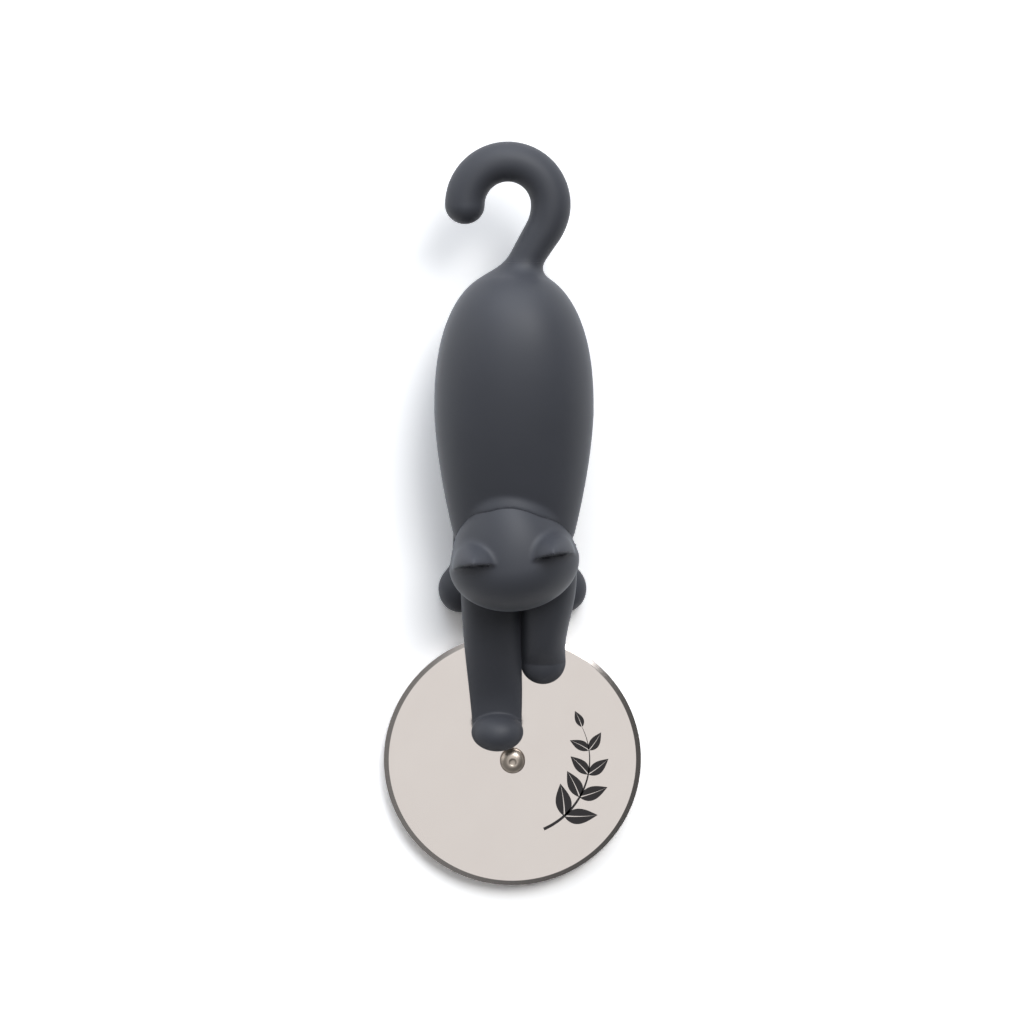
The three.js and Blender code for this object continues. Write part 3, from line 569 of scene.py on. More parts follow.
def skin_of(field, low, high, spacing):
    """Points and faces of the surface of a field inside a box."""
    counts = [math.ceil((end - start) / spacing / BLOCK + 1) * BLOCK for start, end in zip(low, high)]
    axes = [start + spacing * np.arange(count) for start, count in zip(low, counts)]
    inside = grid_values(field, axes, spacing) < 0
    for axis in range(3):
        for end in (0, -1):
            if np.take(inside, end, axis).any():
                raise ValueError(f"the form reaches end {end} of axis {axis} of its box {low} {high}")
    filled = sum(
        inside[i : i + counts[0] - 1, j : j + counts[1] - 1, k : k + counts[2] - 1].astype(int)
        for i in (0, 1)
        for j in (0, 1)
        for k in (0, 1)
    )
    crossed = (filled > 0) & (filled < 8)
    number = np.full(crossed.shape, -1)
    number[crossed] = np.arange(crossed.sum())
    points = np.array(low) + spacing * (np.argwhere(crossed) + 0.5)
    faces = net_faces(inside, number)
    points = slide(slide(points, field, spacing), field, spacing)
    for _ in range(2):
        points = slide(even_out(points, faces), field, spacing)
    return slide(points, field, spacing), faces


# %% [markdown]
# ## From a mesh to a piece
# Every piece is placed in the same way: it is shaded smooth with sharp edges kept, gets its finish, rides
# on one of the two bodies and stands in for its CAD part, if it has one.
# One function does that for all of them.

# %% Pieces from points and faces
SHARP_ANGLE = math.radians(38)
TOUCHING = 1e-8  # metres, within which two points are one


def mesh_of(name, points, faces):
    mesh = bpy.data.meshes.new(name)
    mesh.from_pydata((np.asarray(points) * MM).tolist(), [], [list(face) for face in faces])
    return mesh


def place_piece(name, mesh, material, body, slot, *nodes):
    """Puts a mesh into the scene as a piece that rides on a body and stands for CAD nodes."""
    mesh.shade_smooth()
    mesh.set_sharp_from_angle(angle=SHARP_ANGLE)
    mesh.materials.clear()
    mesh.materials.append(material)
    piece = bpy.data.objects.new(name, mesh)
    bpy.context.scene.collection.objects.link(piece)
    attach(piece, body)
    if nodes:
        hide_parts(*nodes)
    print(f"{name}: {len(mesh.vertices)} points")
    return piece


def moulding(name, field, low, high, spacing, node):
    """A soft-touch piece from a field, in place of a CAD node."""
    mesh = mesh_of(name, *skin_of(field, low, high, spacing))
    return place_piece(name, mesh, charcoal, "handle", "soft_touch", node)


# %% [markdown]
# ## Torso
# The torso is a row of rounded oval sections from the chest to the rump. Its half width and its height
# follow smooth laws along the body, and both ends close as superellipses, which are fuller than a ball
# and flow without a kink.

# %% Torso
TORSO_LENGTH = 81.0
COLLAR_LENGTH = 2.0  # of the shells' collar behind the rump
CHEST_HALF_WIDTH = 16.2
NAPE_DROP = 7.4
NAPE_SETBACK = 20.4
RUMP_LENGTH = 36.5
CREST_SETBACK = 24.6
CHEST_ROUND = 13.0
SECTION_POWER = 2.2
RUMP_POWER = 2.35
WAIST_POWER = 1.6
SLOPE_POWER = 1.7
WALL = 2.4
WAIST_LIMIT = 3.0  # keeps the width above 0 far in front of the chest
LEAST_RISE = 1.0  # keeps the height above 0 there
TINY = 1e-9  # keeps a division from going wrong on the axis

rump = belly_high.y - COLLAR_LENGTH
chest = rump - TORSO_LENGTH
widest = rump - RUMP_LENGTH
crest = rump - CREST_SETBACK
nape = chest + NAPE_SETBACK


def torso_ratio(x, y, z):
    """1 on the torso's surface; the upper and the lower half have their own heights and ends."""
    waist = np.maximum(0, widest - y) / (widest - chest - CHEST_ROUND)
    slope = np.maximum(0, crest - y) / (crest - nape)
    half_width = back_high.x - (back_high.x - CHEST_HALF_WIDTH) * np.minimum(waist**WAIST_POWER, WAIST_LIMIT)
    rise = np.maximum(back_high.z - parting - NAPE_DROP * slope**SLOPE_POWER, LEAST_RISE)
    above = z > parting
    height = np.where(above, rise, parting - belly_low.z)
    side = np.abs(x / half_width) ** SECTION_POWER
    up = np.abs((z - parting) / height) ** SECTION_POWER
    side_end = np.maximum(0, y - widest) / (rump - widest)
    top_end = np.where(above, np.maximum(0, y - crest) / (rump - crest), side_end)
    share = up / (side + up + TINY)
    end = (1 - share) * side_end**RUMP_POWER + share * top_end**RUMP_POWER
    front = (np.maximum(0, chest + CHEST_ROUND - y) / CHEST_ROUND) ** SECTION_POWER
    return ((side + up + front) ** (RUMP_POWER / SECTION_POWER) + end) ** (1 / RUMP_POWER)


torso_form = as_distance(torso_ratio, steepest=0.2)


def torso(x, y, z):
    """The torso, ended flat behind the rump."""
    return np.maximum(torso_form(x, y, z), y - rump)


print(f"torso from {chest:.1f} to {rump:.1f}, widest at {widest:.1f}")

# %% [markdown]
# ## Tail
# The tail is a round bar round a line of three stretches: a straight stem out of the rump, a bend and the
# half turn of the hook. The distance to the line is the least of the distances to the stretches.

# %% Tail
TAIL_RADIUS = 5.15
ROOT_THINNING = 0.85  # of the radius, where the stem leaves the rump
HOOK_RADIUS = 11.1
STEM_BEND = 14.0
STEM_LEAN = math.radians(32)
STEM_FILLET = 4.2
STEM_LENGTH = 22.0  # from the bend into the torso

hook_x = (tail_low.x + tail_high.x) / 2
hook_y = tail_high.y - HOOK_RADIUS - TAIL_RADIUS
bend_x = hook_x + HOOK_RADIUS - STEM_BEND
bend_end = (bend_x + STEM_BEND * math.cos(STEM_LEAN), hook_y - STEM_BEND * math.sin(STEM_LEAN))
stem_way = (math.sin(STEM_LEAN), math.cos(STEM_LEAN))


def tail(x, y, z):
    curl = np.where(y > hook_y, np.abs(np.hypot(x - hook_x, y - hook_y) - HOOK_RADIUS), np.inf)
    tip = np.hypot(x - hook_x + HOOK_RADIUS, y - hook_y)
    angle = np.arctan2(y - hook_y, x - bend_x)
    in_bend = (angle <= 0) & (angle >= -STEM_LEAN)
    bend = np.where(in_bend, np.abs(np.hypot(x - bend_x, y - hook_y) - STEM_BEND), np.inf)
    along = np.clip((bend_end[0] - x) * stem_way[0] + (bend_end[1] - y) * stem_way[1], 0, STEM_LENGTH)
    stem = np.hypot(x - bend_end[0] + along * stem_way[0], y - bend_end[1] + along * stem_way[1])
    line = np.minimum(np.minimum(curl, tip), np.minimum(bend, stem))
    radius = TAIL_RADIUS - ROOT_THINNING * smooth_step(0, rump - hook_y, y - hook_y)
    return np.hypot(line, z - parting) - radius


def rump_and_tail(x, y, z):
    return join(torso(x, y, z), tail(x, y, z), STEM_FILLET)


print(f"hook curls round x {hook_x:.1f}, y {hook_y:.1f}")

# %% [markdown]
# ## Head
# The skull is an egg, blunt in front and long behind, where it narrows and sinks into the nape. Each ear
# is a tapering half round that leans back out of the skull. A fillet joins it on, and below its root it
# narrows away into the head. Its front is flat and slightly hollowed, and the edge between front and back
# is rolled.

# %% Head
HEAD_HALF_WIDTH = 17.1
HEAD_HALF_HEIGHT = 14.6
HEAD_FRONT = 12.7
HEAD_BACK = 22.9
HEAD_TAPER = 0.27  # share of the width that is lost at the back
HEAD_SETBACK = 4.7
HEAD_TURN = math.radians(7.5)
EAR_HALF_WIDTH = 7.0
EAR_DEPTH = 9.5  # of the root, from the flat front to the back
EAR_TIP_DEPTH = 0.6
EAR_HEIGHT = 12.3
EAR_ARCH = 0.8  # how fast the width closes towards the tip
EAR_SLOPE = 0.72  # below 1 the slope of the back swells out
EAR_FACE = -0.6
EAR_SPREAD = 8.9
EAR_SETBACK = 1.3
EAR_SPLAY = math.radians(8)
EAR_LEAN = math.radians(13)
EAR_YAW = math.radians(3)
EAR_ROOT_HEIGHT = 6.0
EAR_SINK = 9.0  # how far the root narrows away into the head
EAR_END_STEEPNESS = 8.0
EAR_TIP_LIMIT = 0.999  # keeps the width above 0 at the tip
EAR_ROOT_LIMIT = 0.99  # and at the root's end
EAR_FILLET = 1.2
EAR_EDGE = 0.5  # of the hollow
EAR_ROLL = 0.45  # of the top, between the front and the back
EAR_HOLLOW = (4.2, 0.5, 6.0)  # half sizes of the hollow
EAR_HOLLOW_HEIGHT = 5.5
MUZZLE_RADIUS = 4.2
MUZZLE_PLACE = (2.6, -8.2, -5.2)
MUZZLE_FILLET = 2.0
NOSE_RADIUS = 1.5
NOSE_PLACE = (0.0, -10.8, -3.0)
NOSE_FILLET = 0.6

head_y = chest + HEAD_SETBACK
head_z = head_low.z + HEAD_HALF_HEIGHT


def in_head(x, y, z):
    """A place in the head's own directions, from the head's middle."""
    across, along = swing(-HEAD_TURN, x, y - head_y)
    return across, along, z - head_z


def head_outline(across, along):
    """1 on the head's outline from above, which is an egg."""
    length = np.where(along < 0, HEAD_FRONT, HEAD_BACK)
    half_width = HEAD_HALF_WIDTH * (1 - HEAD_TAPER * np.clip(along / HEAD_BACK, 0, 1))
    return np.hypot(across / half_width, along / length)


def skull_ratio(x, y, z):
    across, along, up = in_head(x, y, z)
    return np.hypot(head_outline(across, along), up / HEAD_HALF_HEIGHT)


skull = as_distance(skull_ratio)


def ear_ratio(x, y, z):
    """1 on the round back of an ear, and soon more past its tip and its root."""
    height = np.clip(z / EAR_HEIGHT, 0, EAR_TIP_LIMIT)
    sunk = np.clip(-z / EAR_SINK, 0, EAR_ROOT_LIMIT)
    root = np.sqrt(1 - sunk * sunk)
    half_width = root * EAR_HALF_WIDTH * (1 - height * height) ** EAR_ARCH
    depth = root * (EAR_TIP_DEPTH + (EAR_DEPTH - EAR_TIP_DEPTH) * (1 - height) ** EAR_SLOPE)
    past = EAR_END_STEEPNESS * (np.maximum(z - EAR_HEIGHT, 0) + np.maximum(-z - EAR_SINK, 0))
    back = np.maximum(y - EAR_FACE, 0) / depth
    return np.hypot(x / half_width, back) + past


ear_round = as_distance(ear_ratio)


def ear(side, across, along, up):
    """One ear, splayed outwards, turned a little to the side and leaning back."""
    outward, rise = swing(side * EAR_SPLAY, across - side * EAR_SPREAD, up - EAR_ROOT_HEIGHT)
    x, behind = swing(-side * EAR_YAW, outward, along - EAR_SETBACK)
    y, z = swing(EAR_LEAN, behind, rise)
    half = rolled(ear_round(x, y, z), EAR_FACE - y, EAR_ROLL)
    hollow = ball((0, EAR_FACE, EAR_HOLLOW_HEIGHT), *EAR_HOLLOW)(x, y, z)
    return cut(half, hollow, EAR_EDGE)


def head_form(x, y, z):
    own = in_head(x, y, z)
    form = skull(x, y, z)
    for side in (-1, 1):
        cheek = ball((side * MUZZLE_PLACE[0], *MUZZLE_PLACE[1:]), *[MUZZLE_RADIUS] * 3)
        form = join(form, cheek(*own), MUZZLE_FILLET)
    form = join(form, ball(NOSE_PLACE, *[NOSE_RADIUS] * 3)(*own), NOSE_FILLET)
    for side in (-1, 1):
        form = join(form, ear(side, *own), EAR_FILLET)
    return form


HEAD_SPACING = 0.36
HEAD_BOX = (-19, 43, 13), (19, 81, 52)
moulding("head_moulding", head_form, *HEAD_BOX, HEAD_SPACING, "head")

# %% [markdown]
# ## The two shells
# The shells share one outside: the torso, the root of the tail flowing out of it, and a low lip round the
# nape that the head sinks into. Meshing that whole skin once and slicing it flat at the parting line
# keeps both halves exactly in line, and the slice is crisp. The inside is hollow, with the columns that
# the two screws from below go through.

# %% The two shells
LIP_RISE = 1.4
LIP_CREST = 0.15  # from the head to the lip's crest
LIP_WIDTH = 0.8
LIP_FULL = 6.0  # half width over which the lip is full
LIP_END = 12.5  # half width where it has faded away
LIP_CLIMB = 6.0  # height over the parting line in which the lip comes up
LIP_EDGE = 0.1
SHELL_SPACING = 0.42
ARM_THICKNESS = 1.5
SLOT_GAP = 0.3
COLUMN_WALL = 1.2
TAIL_SEAM = 0.02
SCREW_HEAD_GAP = 0.3
SCREW_HEAD_HEIGHT = 1.8

screw_boxes = [span("shell_screw_front"), span("shell_screw_rear")]


def shell_skin(x, y, z):
    upper = smooth_step(LIP_END, LIP_FULL, np.abs(x)) * smooth_step(parting, parting + LIP_CLIMB, z)
    swell = np.exp(-(((skull(x, y, z) - LIP_CREST) / LIP_WIDTH) ** 2))
    return join(torso(x, y, z) - LIP_RISE * upper * swell, tail(x, y, z), STEM_FILLET)


def screw_well(x, y, z):
    """The columns that the shell screws go through, and the counterbores that their heads sit in."""
    columns, wells = np.inf, np.inf
    for low, high in screw_boxes:
        from_axis = np.hypot(x, y - (low.y + high.y) / 2)
        bore = (high.x - low.x) / 2 + SCREW_HEAD_GAP
        seat = low.z + SCREW_HEAD_HEIGHT
        columns = np.minimum(columns, from_axis - bore - COLUMN_WALL)
        wells = np.minimum(wells, np.maximum(from_axis - bore, z - seat))
    return columns, wells


def shell_walls(x, y, z):
    skin = cut(shell_skin(x, y, z), skull(x, y, z) + LET_IN, LIP_EDGE)
    columns, wells = screw_well(x, y, z)
    room = np.maximum(torso(x, y, z) + WALL, HAIRLINE + WALL - skull(x, y, z))
    room = np.maximum(room, -np.maximum(columns, z - parting))
    solid = np.maximum(skin, -room)
    slot_height = arm_high.z - ARM_THICKNESS / 2
    slot = np.maximum(np.abs(x) - arm_high.x, np.abs(z - slot_height) - ARM_THICKNESS / 2) - SLOT_GAP
    slot = np.maximum(slot, y - arm_high.y)
    return np.maximum(np.maximum(solid, -slot), -wells)


print("shell screws at y", [round((low.y + high.y) / 2, 1) for low, high in screw_boxes])

# %% [markdown]
# ### Slicing at the parting line
# A bisected mesh has an open rim, so each slice is closed again with a flat face. A boolean could do the
# same, but it is slower, and it can fail where two faces lie in one plane.


# %% Slicing the shells
def slice_flat(mesh, point, outward):
    """A copy of a mesh that ends in a flat closed face at a plane."""
    shape = bmesh.new()
    shape.from_mesh(mesh)
    everything = [*shape.verts, *shape.edges, *shape.faces]
    bmesh.ops.bisect_plane(
        shape, geom=everything, plane_co=Vector(point) * MM, plane_no=outward, clear_outer=True, dist=TOUCHING
    )
    rims = [edge for edge in shape.edges if edge.is_boundary]
    bmesh.ops.triangle_fill(shape, edges=rims, use_beauty=True, normal=outward)
    sliced = bpy.data.meshes.new(mesh.name)
    shape.to_mesh(sliced)
    shape.free()
    return sliced


backward = Vector((0, 1, 0))
seam = Vector((0, belly_high.y, 0))  # where the tail leaves the shells
whole_low = (-back_high.x - MARGIN, chest - 3 * MARGIN, belly_low.z - MARGIN)
whole_high = (back_high.x + MARGIN, seam.y + 3 * MARGIN, back_high.z + 2 * MARGIN)


def shells_to_tail(x, y, z):
    """Both shells in one, ended a little behind the seam, where they are sliced."""
    return np.maximum(shell_walls(x, y, z), y - seam.y - MARGIN)


whole = mesh_of("shells", *skin_of(shells_to_tail, whole_low, whole_high, SHELL_SPACING))
whole = slice_flat(whole, seam - backward * TAIL_SEAM / 2, backward)
half_gap = Vector((0, 0, HAIRLINE / 2))
split = Vector((0, 0, parting))
back = slice_flat(whole, split + half_gap, Vector((0, 0, -1)))
belly = slice_flat(whole, split - half_gap, Vector((0, 0, 1)))
place_piece("back_moulding", back, charcoal, "handle", "soft_touch", "back_shell")
place_piece("belly_moulding", belly, charcoal, "handle", "soft_touch", "belly_shell")

# %% [markdown]
# ### The tail as a piece
# The tail is a moulding of its own, trapped between the shells. It starts where they end, with the same
# fillet into the rump, so the two meet in a fine line and the form runs on.

# %% The tail
TAIL_SPACING = 0.4


def tail_form(x, y, z):
    return np.maximum(rump_and_tail(x, y, z), seam.y - MARGIN - y)


tail_start = (tail_low.x - MARGIN, rump - 2 * MARGIN, tail_low.z - 3 * MARGIN)
tail_end = (tail_high.x + MARGIN, tail_high.y + MARGIN, tail_high.z + 3 * MARGIN)
tail_mesh = mesh_of("tail", *skin_of(tail_form, tail_start, tail_end, TAIL_SPACING))
tail_mesh = slice_flat(tail_mesh, seam + backward * TAIL_SEAM / 2, -backward)
place_piece("tail_moulding", tail_mesh, charcoal, "handle", "soft_touch", "tail_hook")

# %% [markdown]
# ## Legs
# A leg is a row of ovals, each with a place, a half width, and a low and a high edge. Between the rows a
# smooth curve carries every one of these numbers, and round caps close the ends. The paw is a ball joined
# on with a small fillet, which leaves the soft crease of an ankle. The soles are cut flat.

# %% Limbs
CURVE_STEPS = 48


def smooth_rows(rows):
    """Rows of numbers carried by a smooth curve through them all."""
    padded = np.array([rows[0], *rows, rows[-1]], float)
    found = []
    for before, start, end, after in zip(padded, padded[1:], padded[2:], padded[3:]):
        leave, arrive = (end - before) / 2, (after - start) / 2
        for t in np.linspace(0, 1, CURVE_STEPS, endpoint=False):
            square = 3 * (end - start) - 2 * leave - arrive
            cube = 2 * (start - end) + leave + arrive
            found.append(start + leave * t + square * t**2 + cube * t**3)
    found.append(padded[-1])
    return np.array(found)


def limb(stations, root_round, end_round):
    """A field round ovals at stations (x, y, half width, low, high), from root to end."""
    rows = smooth_rows(stations)[::-1]
    x_at, y_at, width_at, low_at, high_at = rows.T
    first, last = stations[0][1], stations[-1][1]

    def ratio(x, y, z):
        middle = np.interp(y, y_at, (low_at + high_at) / 2)
        height = np.interp(y, y_at, (high_at - low_at) / 2)
        across = (x - np.interp(y, y_at, x_at)) / np.interp(y, y_at, width_at)
        past = np.maximum(y - first, 0) / root_round + np.maximum(last - y, 0) / end_round
        return np.sqrt(across**2 + ((z - middle) / height) ** 2 + past**2)

    return as_distance(ratio)


# %% [markdown]
# ### Forelegs
# The left foreleg reaches out to a paw beside the axle, and the right one stops over the wheel. Both seat
# on the chest and under the head, so each is cut back by those two forms. Their soles are flat and clear
# the wheel.

# %% Forelegs
LEG_SPLIT = 2.1
LEG_LAP = 0.2  # the soft legs press together
SHOULDER_TOP = 25.0
SHOULDER_SETBACK = 8.0
SHOULDER_REACH = 4.0
LEG_ARM_GAP = 2.4
SOLE_CUT = 0.7
SOLE_EDGE = 0.5
SEAT_ROUND = 0.3
LEG_SPACING = 0.36
ANKLE_FILLET = 0.6
LEFT_SHOULDER = 8.1  # this and the next five are half widths
LEFT_FOREARM = 7.7
WRIST = 7.1
PAW_NECK = 6.5
RIGHT_SHOULDER = 7.3
RIGHT_FOREARM = 6.1
LEFT_DROP = 5.0  # this and the next two are how far the top line falls from the shoulder
RIGHT_DROP = 4.6
RIGHT_END_DROP = 8.8
WRIST_LOW = 0.6  # this and the next two are heights over the sole
WRIST_HIGH = 7.4
NECK_HIGH = 5.8
NECK_INSET = 1.0  # of the leg's end inside the paw
PAW_HALF = (7.0, 5.2, 6.2)
PAW_X = -4.2
PAW_REACH = 0.15
WRIST_X = -4.6
LEFT_LEG_BOX = (-16, 3, 5), (4, 64, 27)
RIGHT_LEG_BOX = (1, 21, 5), (19, 64, 27)

underside = arm_high.z + LEG_ARM_GAP
left_edge = LEG_SPLIT + LEG_LAP / 2
right_edge = LEG_SPLIT - LEG_LAP / 2
shoulder_back = chest + SHOULDER_SETBACK
shoulder_front = chest - SHOULDER_REACH
paw_middle = (PAW_X, left_low.y + PAW_HALF[1] - PAW_REACH, sole - SOLE_CUT + PAW_HALF[2])
wrist_y = paw_middle[1] + 2 * PAW_HALF[1]
left_stations = [
    (left_edge - LEFT_SHOULDER, shoulder_back, LEFT_SHOULDER, underside, SHOULDER_TOP),
    (left_edge - LEFT_SHOULDER, shoulder_front, LEFT_SHOULDER, underside, SHOULDER_TOP),
    (left_edge - LEFT_FOREARM, rim, LEFT_FOREARM, sole + LEG_ARM_GAP, SHOULDER_TOP - LEFT_DROP),
    (WRIST_X, wrist_y, WRIST, sole + WRIST_LOW, sole + WRIST_HIGH),
    (PAW_X, paw_middle[1], PAW_NECK, sole + WRIST_LOW, sole + NECK_HIGH),
]
right_x = right_edge + RIGHT_FOREARM
right_end = right_low.y + RIGHT_FOREARM
right_stations = [
    (right_edge + RIGHT_SHOULDER, shoulder_back, RIGHT_SHOULDER, underside, SHOULDER_TOP),
    (right_edge + RIGHT_SHOULDER, shoulder_front, RIGHT_SHOULDER, underside, SHOULDER_TOP),
    (right_x, rim, RIGHT_FOREARM, sole, SHOULDER_TOP - RIGHT_DROP),
    (right_x, right_end, RIGHT_FOREARM, sole - SOLE_CUT, SHOULDER_TOP - RIGHT_END_DROP),
]
left_limb = limb(left_stations, SEAT_ROUND, PAW_HALF[1] - NECK_INSET)
right_limb = limb(right_stations, SEAT_ROUND, RIGHT_FOREARM)
left_paw = ball(paw_middle, *PAW_HALF)


def seated(form, x, y, z):
    """A limb cut back from the torso and the head that it seats against."""
    return cut(form, np.minimum(torso(x, y, z), skull(x, y, z)) + LET_IN, LIP_EDGE)


def left_leg(x, y, z):
    form = join(left_limb(x, y, z), left_paw(x, y, z), ANKLE_FILLET)
    return seated(common(form, sole - z, SOLE_EDGE), x, y, z)


def right_leg(x, y, z):
    return seated(common(right_limb(x, y, z), sole - z, SOLE_EDGE), x, y, z)


moulding("left_foreleg_moulding", left_leg, *LEFT_LEG_BOX, LEG_SPACING, "left_foreleg")
moulding("right_foreleg_moulding", right_leg, *RIGHT_LEG_BOX, LEG_SPACING, "right_foreleg")

# %% [markdown]
# ### Hind legs
# Thigh, shank and paw of a hind leg lie along the flank, and the tool stands on their soles. The two legs
# are mirror images, so one function makes them for a side of -1 or 1.

# %% Hind legs
HIND_BOX_SIDES = (4.0, 22.0)  # from the middle, of the box that a leg is meshed in
HIND_BOX_LENGTH = 69
HIND_BOX_HEIGHT = 22
HIND_NECK_INSET = 2.0
PAW_ARM_GAP = 1.9
TOE_RIM_GAP = 5.8
HIND_PAW_HALF = (5.8, 6.4, 5.0)
HIP_ROUND = 9.0
HIND_ANKLE_FILLET = 1.6
# Each row is how far behind the toes, how far in from the paw, the half width, the low and the high edge.
HIND_ROWS = [
    (56.8, 2.4, 9.0, 6.0, 27.0),
    (47.8, 2.1, 8.0, 2.6, 22.0),
    (34.5, 2.6, 6.0, -SOLE_CUT, 14.0),
    (22.1, 2.8, 4.6, -SOLE_CUT, 9.6),
    (13.3, 1.9, 4.4, -SOLE_CUT, 8.8),
    (6.4, 0.0, 4.4, -SOLE_CUT, 8.0),
]
toes = rim + TOE_RIM_GAP
hind_x = arm_high.x + PAW_ARM_GAP + HIND_PAW_HALF[0]


def hind_leg(side):
    stations = []
    for behind, inset, half_width, low, high in HIND_ROWS:
        stations.append((side * (hind_x - inset), toes + behind, half_width, low, high))
    leg = limb(stations, HIP_ROUND, HIND_PAW_HALF[1] - HIND_NECK_INSET)
    paw = ball((side * hind_x, toes + HIND_PAW_HALF[1], HIND_PAW_HALF[2] - SOLE_CUT), *HIND_PAW_HALF)

    def form(x, y, z):
        whole_leg = common(join(leg(x, y, z), paw(x, y, z), HIND_ANKLE_FILLET), -z, SOLE_EDGE)
        return cut(whole_leg, torso(x, y, z) + LET_IN, LIP_EDGE)

    return form


for side, word in ((-1, "left"), (1, "right")):
    reach = sorted(side * edge for edge in HIND_BOX_SIDES)
    box_low = (reach[0], toes - MARGIN, -MARGIN)
    box_high = (reach[1], toes + HIND_BOX_LENGTH, HIND_BOX_HEIGHT)
    node = f"{word}_hind_leg"
    moulding(f"{node}_moulding", hind_leg(side), box_low, box_high, LEG_SPACING, node)

# %% [markdown]
# ## Turned pieces
# The blade, rivet, bush and washers are all turned on a lathe, so each is a profile of radius and height
# that goes once round the axle. Corners get a small chamfer or an arc, because a bare corner catches no
# light.

# %% Turning a profile
def turned(name, profile, sides):
    """A mesh of revolution about the wheel's axle; the profile is closed unless it ends on the axis."""
    profile = np.array(profile, float)
    angles = np.linspace(0, math.tau, sides, endpoint=False)
    rings = np.stack(
        [
            np.outer(profile[:, 0], np.cos(angles)),
            np.outer(profile[:, 0], np.sin(angles)),
            np.outer(profile[:, 1], np.ones(sides)),
        ],
        2,
    )
    count = len(profile)
    closed = profile[0, 0] > 0
    faces = []
    for row in range(count if closed else count - 1):
        below, above = row * sides, (row + 1) % count * sides
        for i in range(sides):
            j = (i + 1) % sides
            faces.append((below + i, below + j, above + j, above + i))
    mesh = mesh_of(name, rings.reshape(-1, 3), faces)
    shape = bmesh.new()
    shape.from_mesh(mesh)
    bmesh.ops.remove_doubles(shape, verts=shape.verts, dist=TOUCHING)
    bmesh.ops.recalc_face_normals(shape, faces=shape.faces)
    shape.to_mesh(mesh)
    shape.free()
    return mesh


def arc(middle, radius, start, end, steps=8):
    """Points of an arc in a profile, angles in degrees."""
    angles = np.radians(np.linspace(start, end, steps))
    return [(middle[0] + radius * math.cos(a), middle[1] + radius * math.sin(a)) for a in angles]


# %% [markdown]
# ### Blade
# The blade is a flat disc with a bevel ground on both faces. The bevel has to shade as an even band, so
# its profile has extra points close to both of its corners, and the corner to the face is slightly eased.

# %% Blade
BLADE_SIDES = 360
FACE_SUPPORT = 2.0  # from the bevel to the ring that keeps the face flat
EDGE_THICKNESS = 0.08
BEVEL_EASE = 0.12  # eased corner between the face and the bevel
BORE_GAP = 0.1
BUSH_FLANGE_RIM = 1.5
bush_low, bush_high = span("wheel_bush")
bush_radius = bush_high.y - BUSH_FLANGE_RIM


def blade_profile():
    middle = (blade_low.z + blade_high.z) / 2
    half = (blade_high.z - blade_low.z) / 2
    bore, flat = bush_radius + BORE_GAP, rim - BEVEL_WIDTH
    slope = (half - EDGE_THICKNESS / 2) / BEVEL_WIDTH
    upper = [(bore, half - BEVEL_EASE), (bore + BEVEL_EASE, half), (flat - FACE_SUPPORT, half)]
    upper += [(flat - step * BEVEL_EASE, half) for step in (2, 1)]
    upper.append((flat, half - BEVEL_EASE * slope / 4))
    upper += [(flat + step * BEVEL_EASE, half - step * BEVEL_EASE * slope) for step in (1, 2)]
    upper += [(rim - step, EDGE_THICKNESS / 2 + step * slope) for step in (BEVEL_EASE, EDGE_THICKNESS / 2)]
    upper.append((rim, EDGE_THICKNESS / 4))
    return [(r, middle + h) for r, h in upper] + [(r, middle - h) for r, h in reversed(upper)]


blade = turned("blade_disc", blade_profile(), BLADE_SIDES)
place_piece("blade_disc", blade, blade_finish, "wheel", "polished_steel", "wheel_blade")

# %% [markdown]
# ### Rivet
# The rivet is the axle. Its domed head has a dimple from the heading tool, its shank carries the bush,
# and its thin end is riveted over behind the arm.

# %% Rivet
RIVET_SIDES = 128
RIVET_TAIL_RADIUS = 3.0
RIVET_TAIL_HEIGHT = 1.8
RIVET_TAIL_ROUND = 0.7
TENON_RADIUS = 1.5
AXLE_RADIUS = 2.0
RIVET_HEAD_HEIGHT = 2.0
RIVET_HEAD_EDGE = 0.35
RIVET_CHAMFER = 0.1
DOME_STEPS = 18
DIMPLE_RADIUS = 1.05
DIMPLE_STEPS = [(0.12, 0.04), (0.3, 0.112), (0.5, 0.14)]  # in from its rim, and how deep it is there


def rivet_profile():
    seat, top, radius = rivet_high.z - RIVET_HEAD_HEIGHT, rivet_high.z, rivet_high.y
    tail_round = arc((RIVET_TAIL_RADIUS - RIVET_TAIL_ROUND, RIVET_TAIL_ROUND), RIVET_TAIL_ROUND, -90, 0)
    shoulder = RIVET_TAIL_HEIGHT + ARM_THICKNESS
    shank = [(TENON_RADIUS, RIVET_TAIL_HEIGHT), (TENON_RADIUS, shoulder), (AXLE_RADIUS, shoulder)]
    head = [(AXLE_RADIUS, seat), (radius - RIVET_CHAMFER, seat), (radius, seat + RIVET_CHAMFER)]
    dome = []
    for angle in np.radians(np.linspace(0, 90, DOME_STEPS)):
        r = DIMPLE_RADIUS + (radius - DIMPLE_RADIUS) * math.cos(angle)
        dome.append((r, seat + RIVET_HEAD_EDGE + (RIVET_HEAD_HEIGHT - RIVET_HEAD_EDGE) * math.sin(angle)))
    dimple = [(DIMPLE_RADIUS - inward, top - depth) for inward, depth in DIMPLE_STEPS]
    dimple.append((0, dimple[-1][1]))
    foot = [(0, 0), *tail_round, (RIVET_TAIL_RADIUS, RIVET_TAIL_HEIGHT)]
    return foot + shank + head + dome + dimple


rivet = turned("rivet_spindle", rivet_profile(), RIVET_SIDES)
place_piece("rivet_spindle", rivet, rivet_finish, "handle", "satin_steel", "axle_rivet")

# %% [markdown]
# ### Bush and washers
# The bush turns with the blade, on the rivet. A thin washer on each side stays with the arm. All are
# turned rings, and the corners that can be seen are broken.

# %% Bush and washers
RING_SIDES = 64
CORNER = 0.08


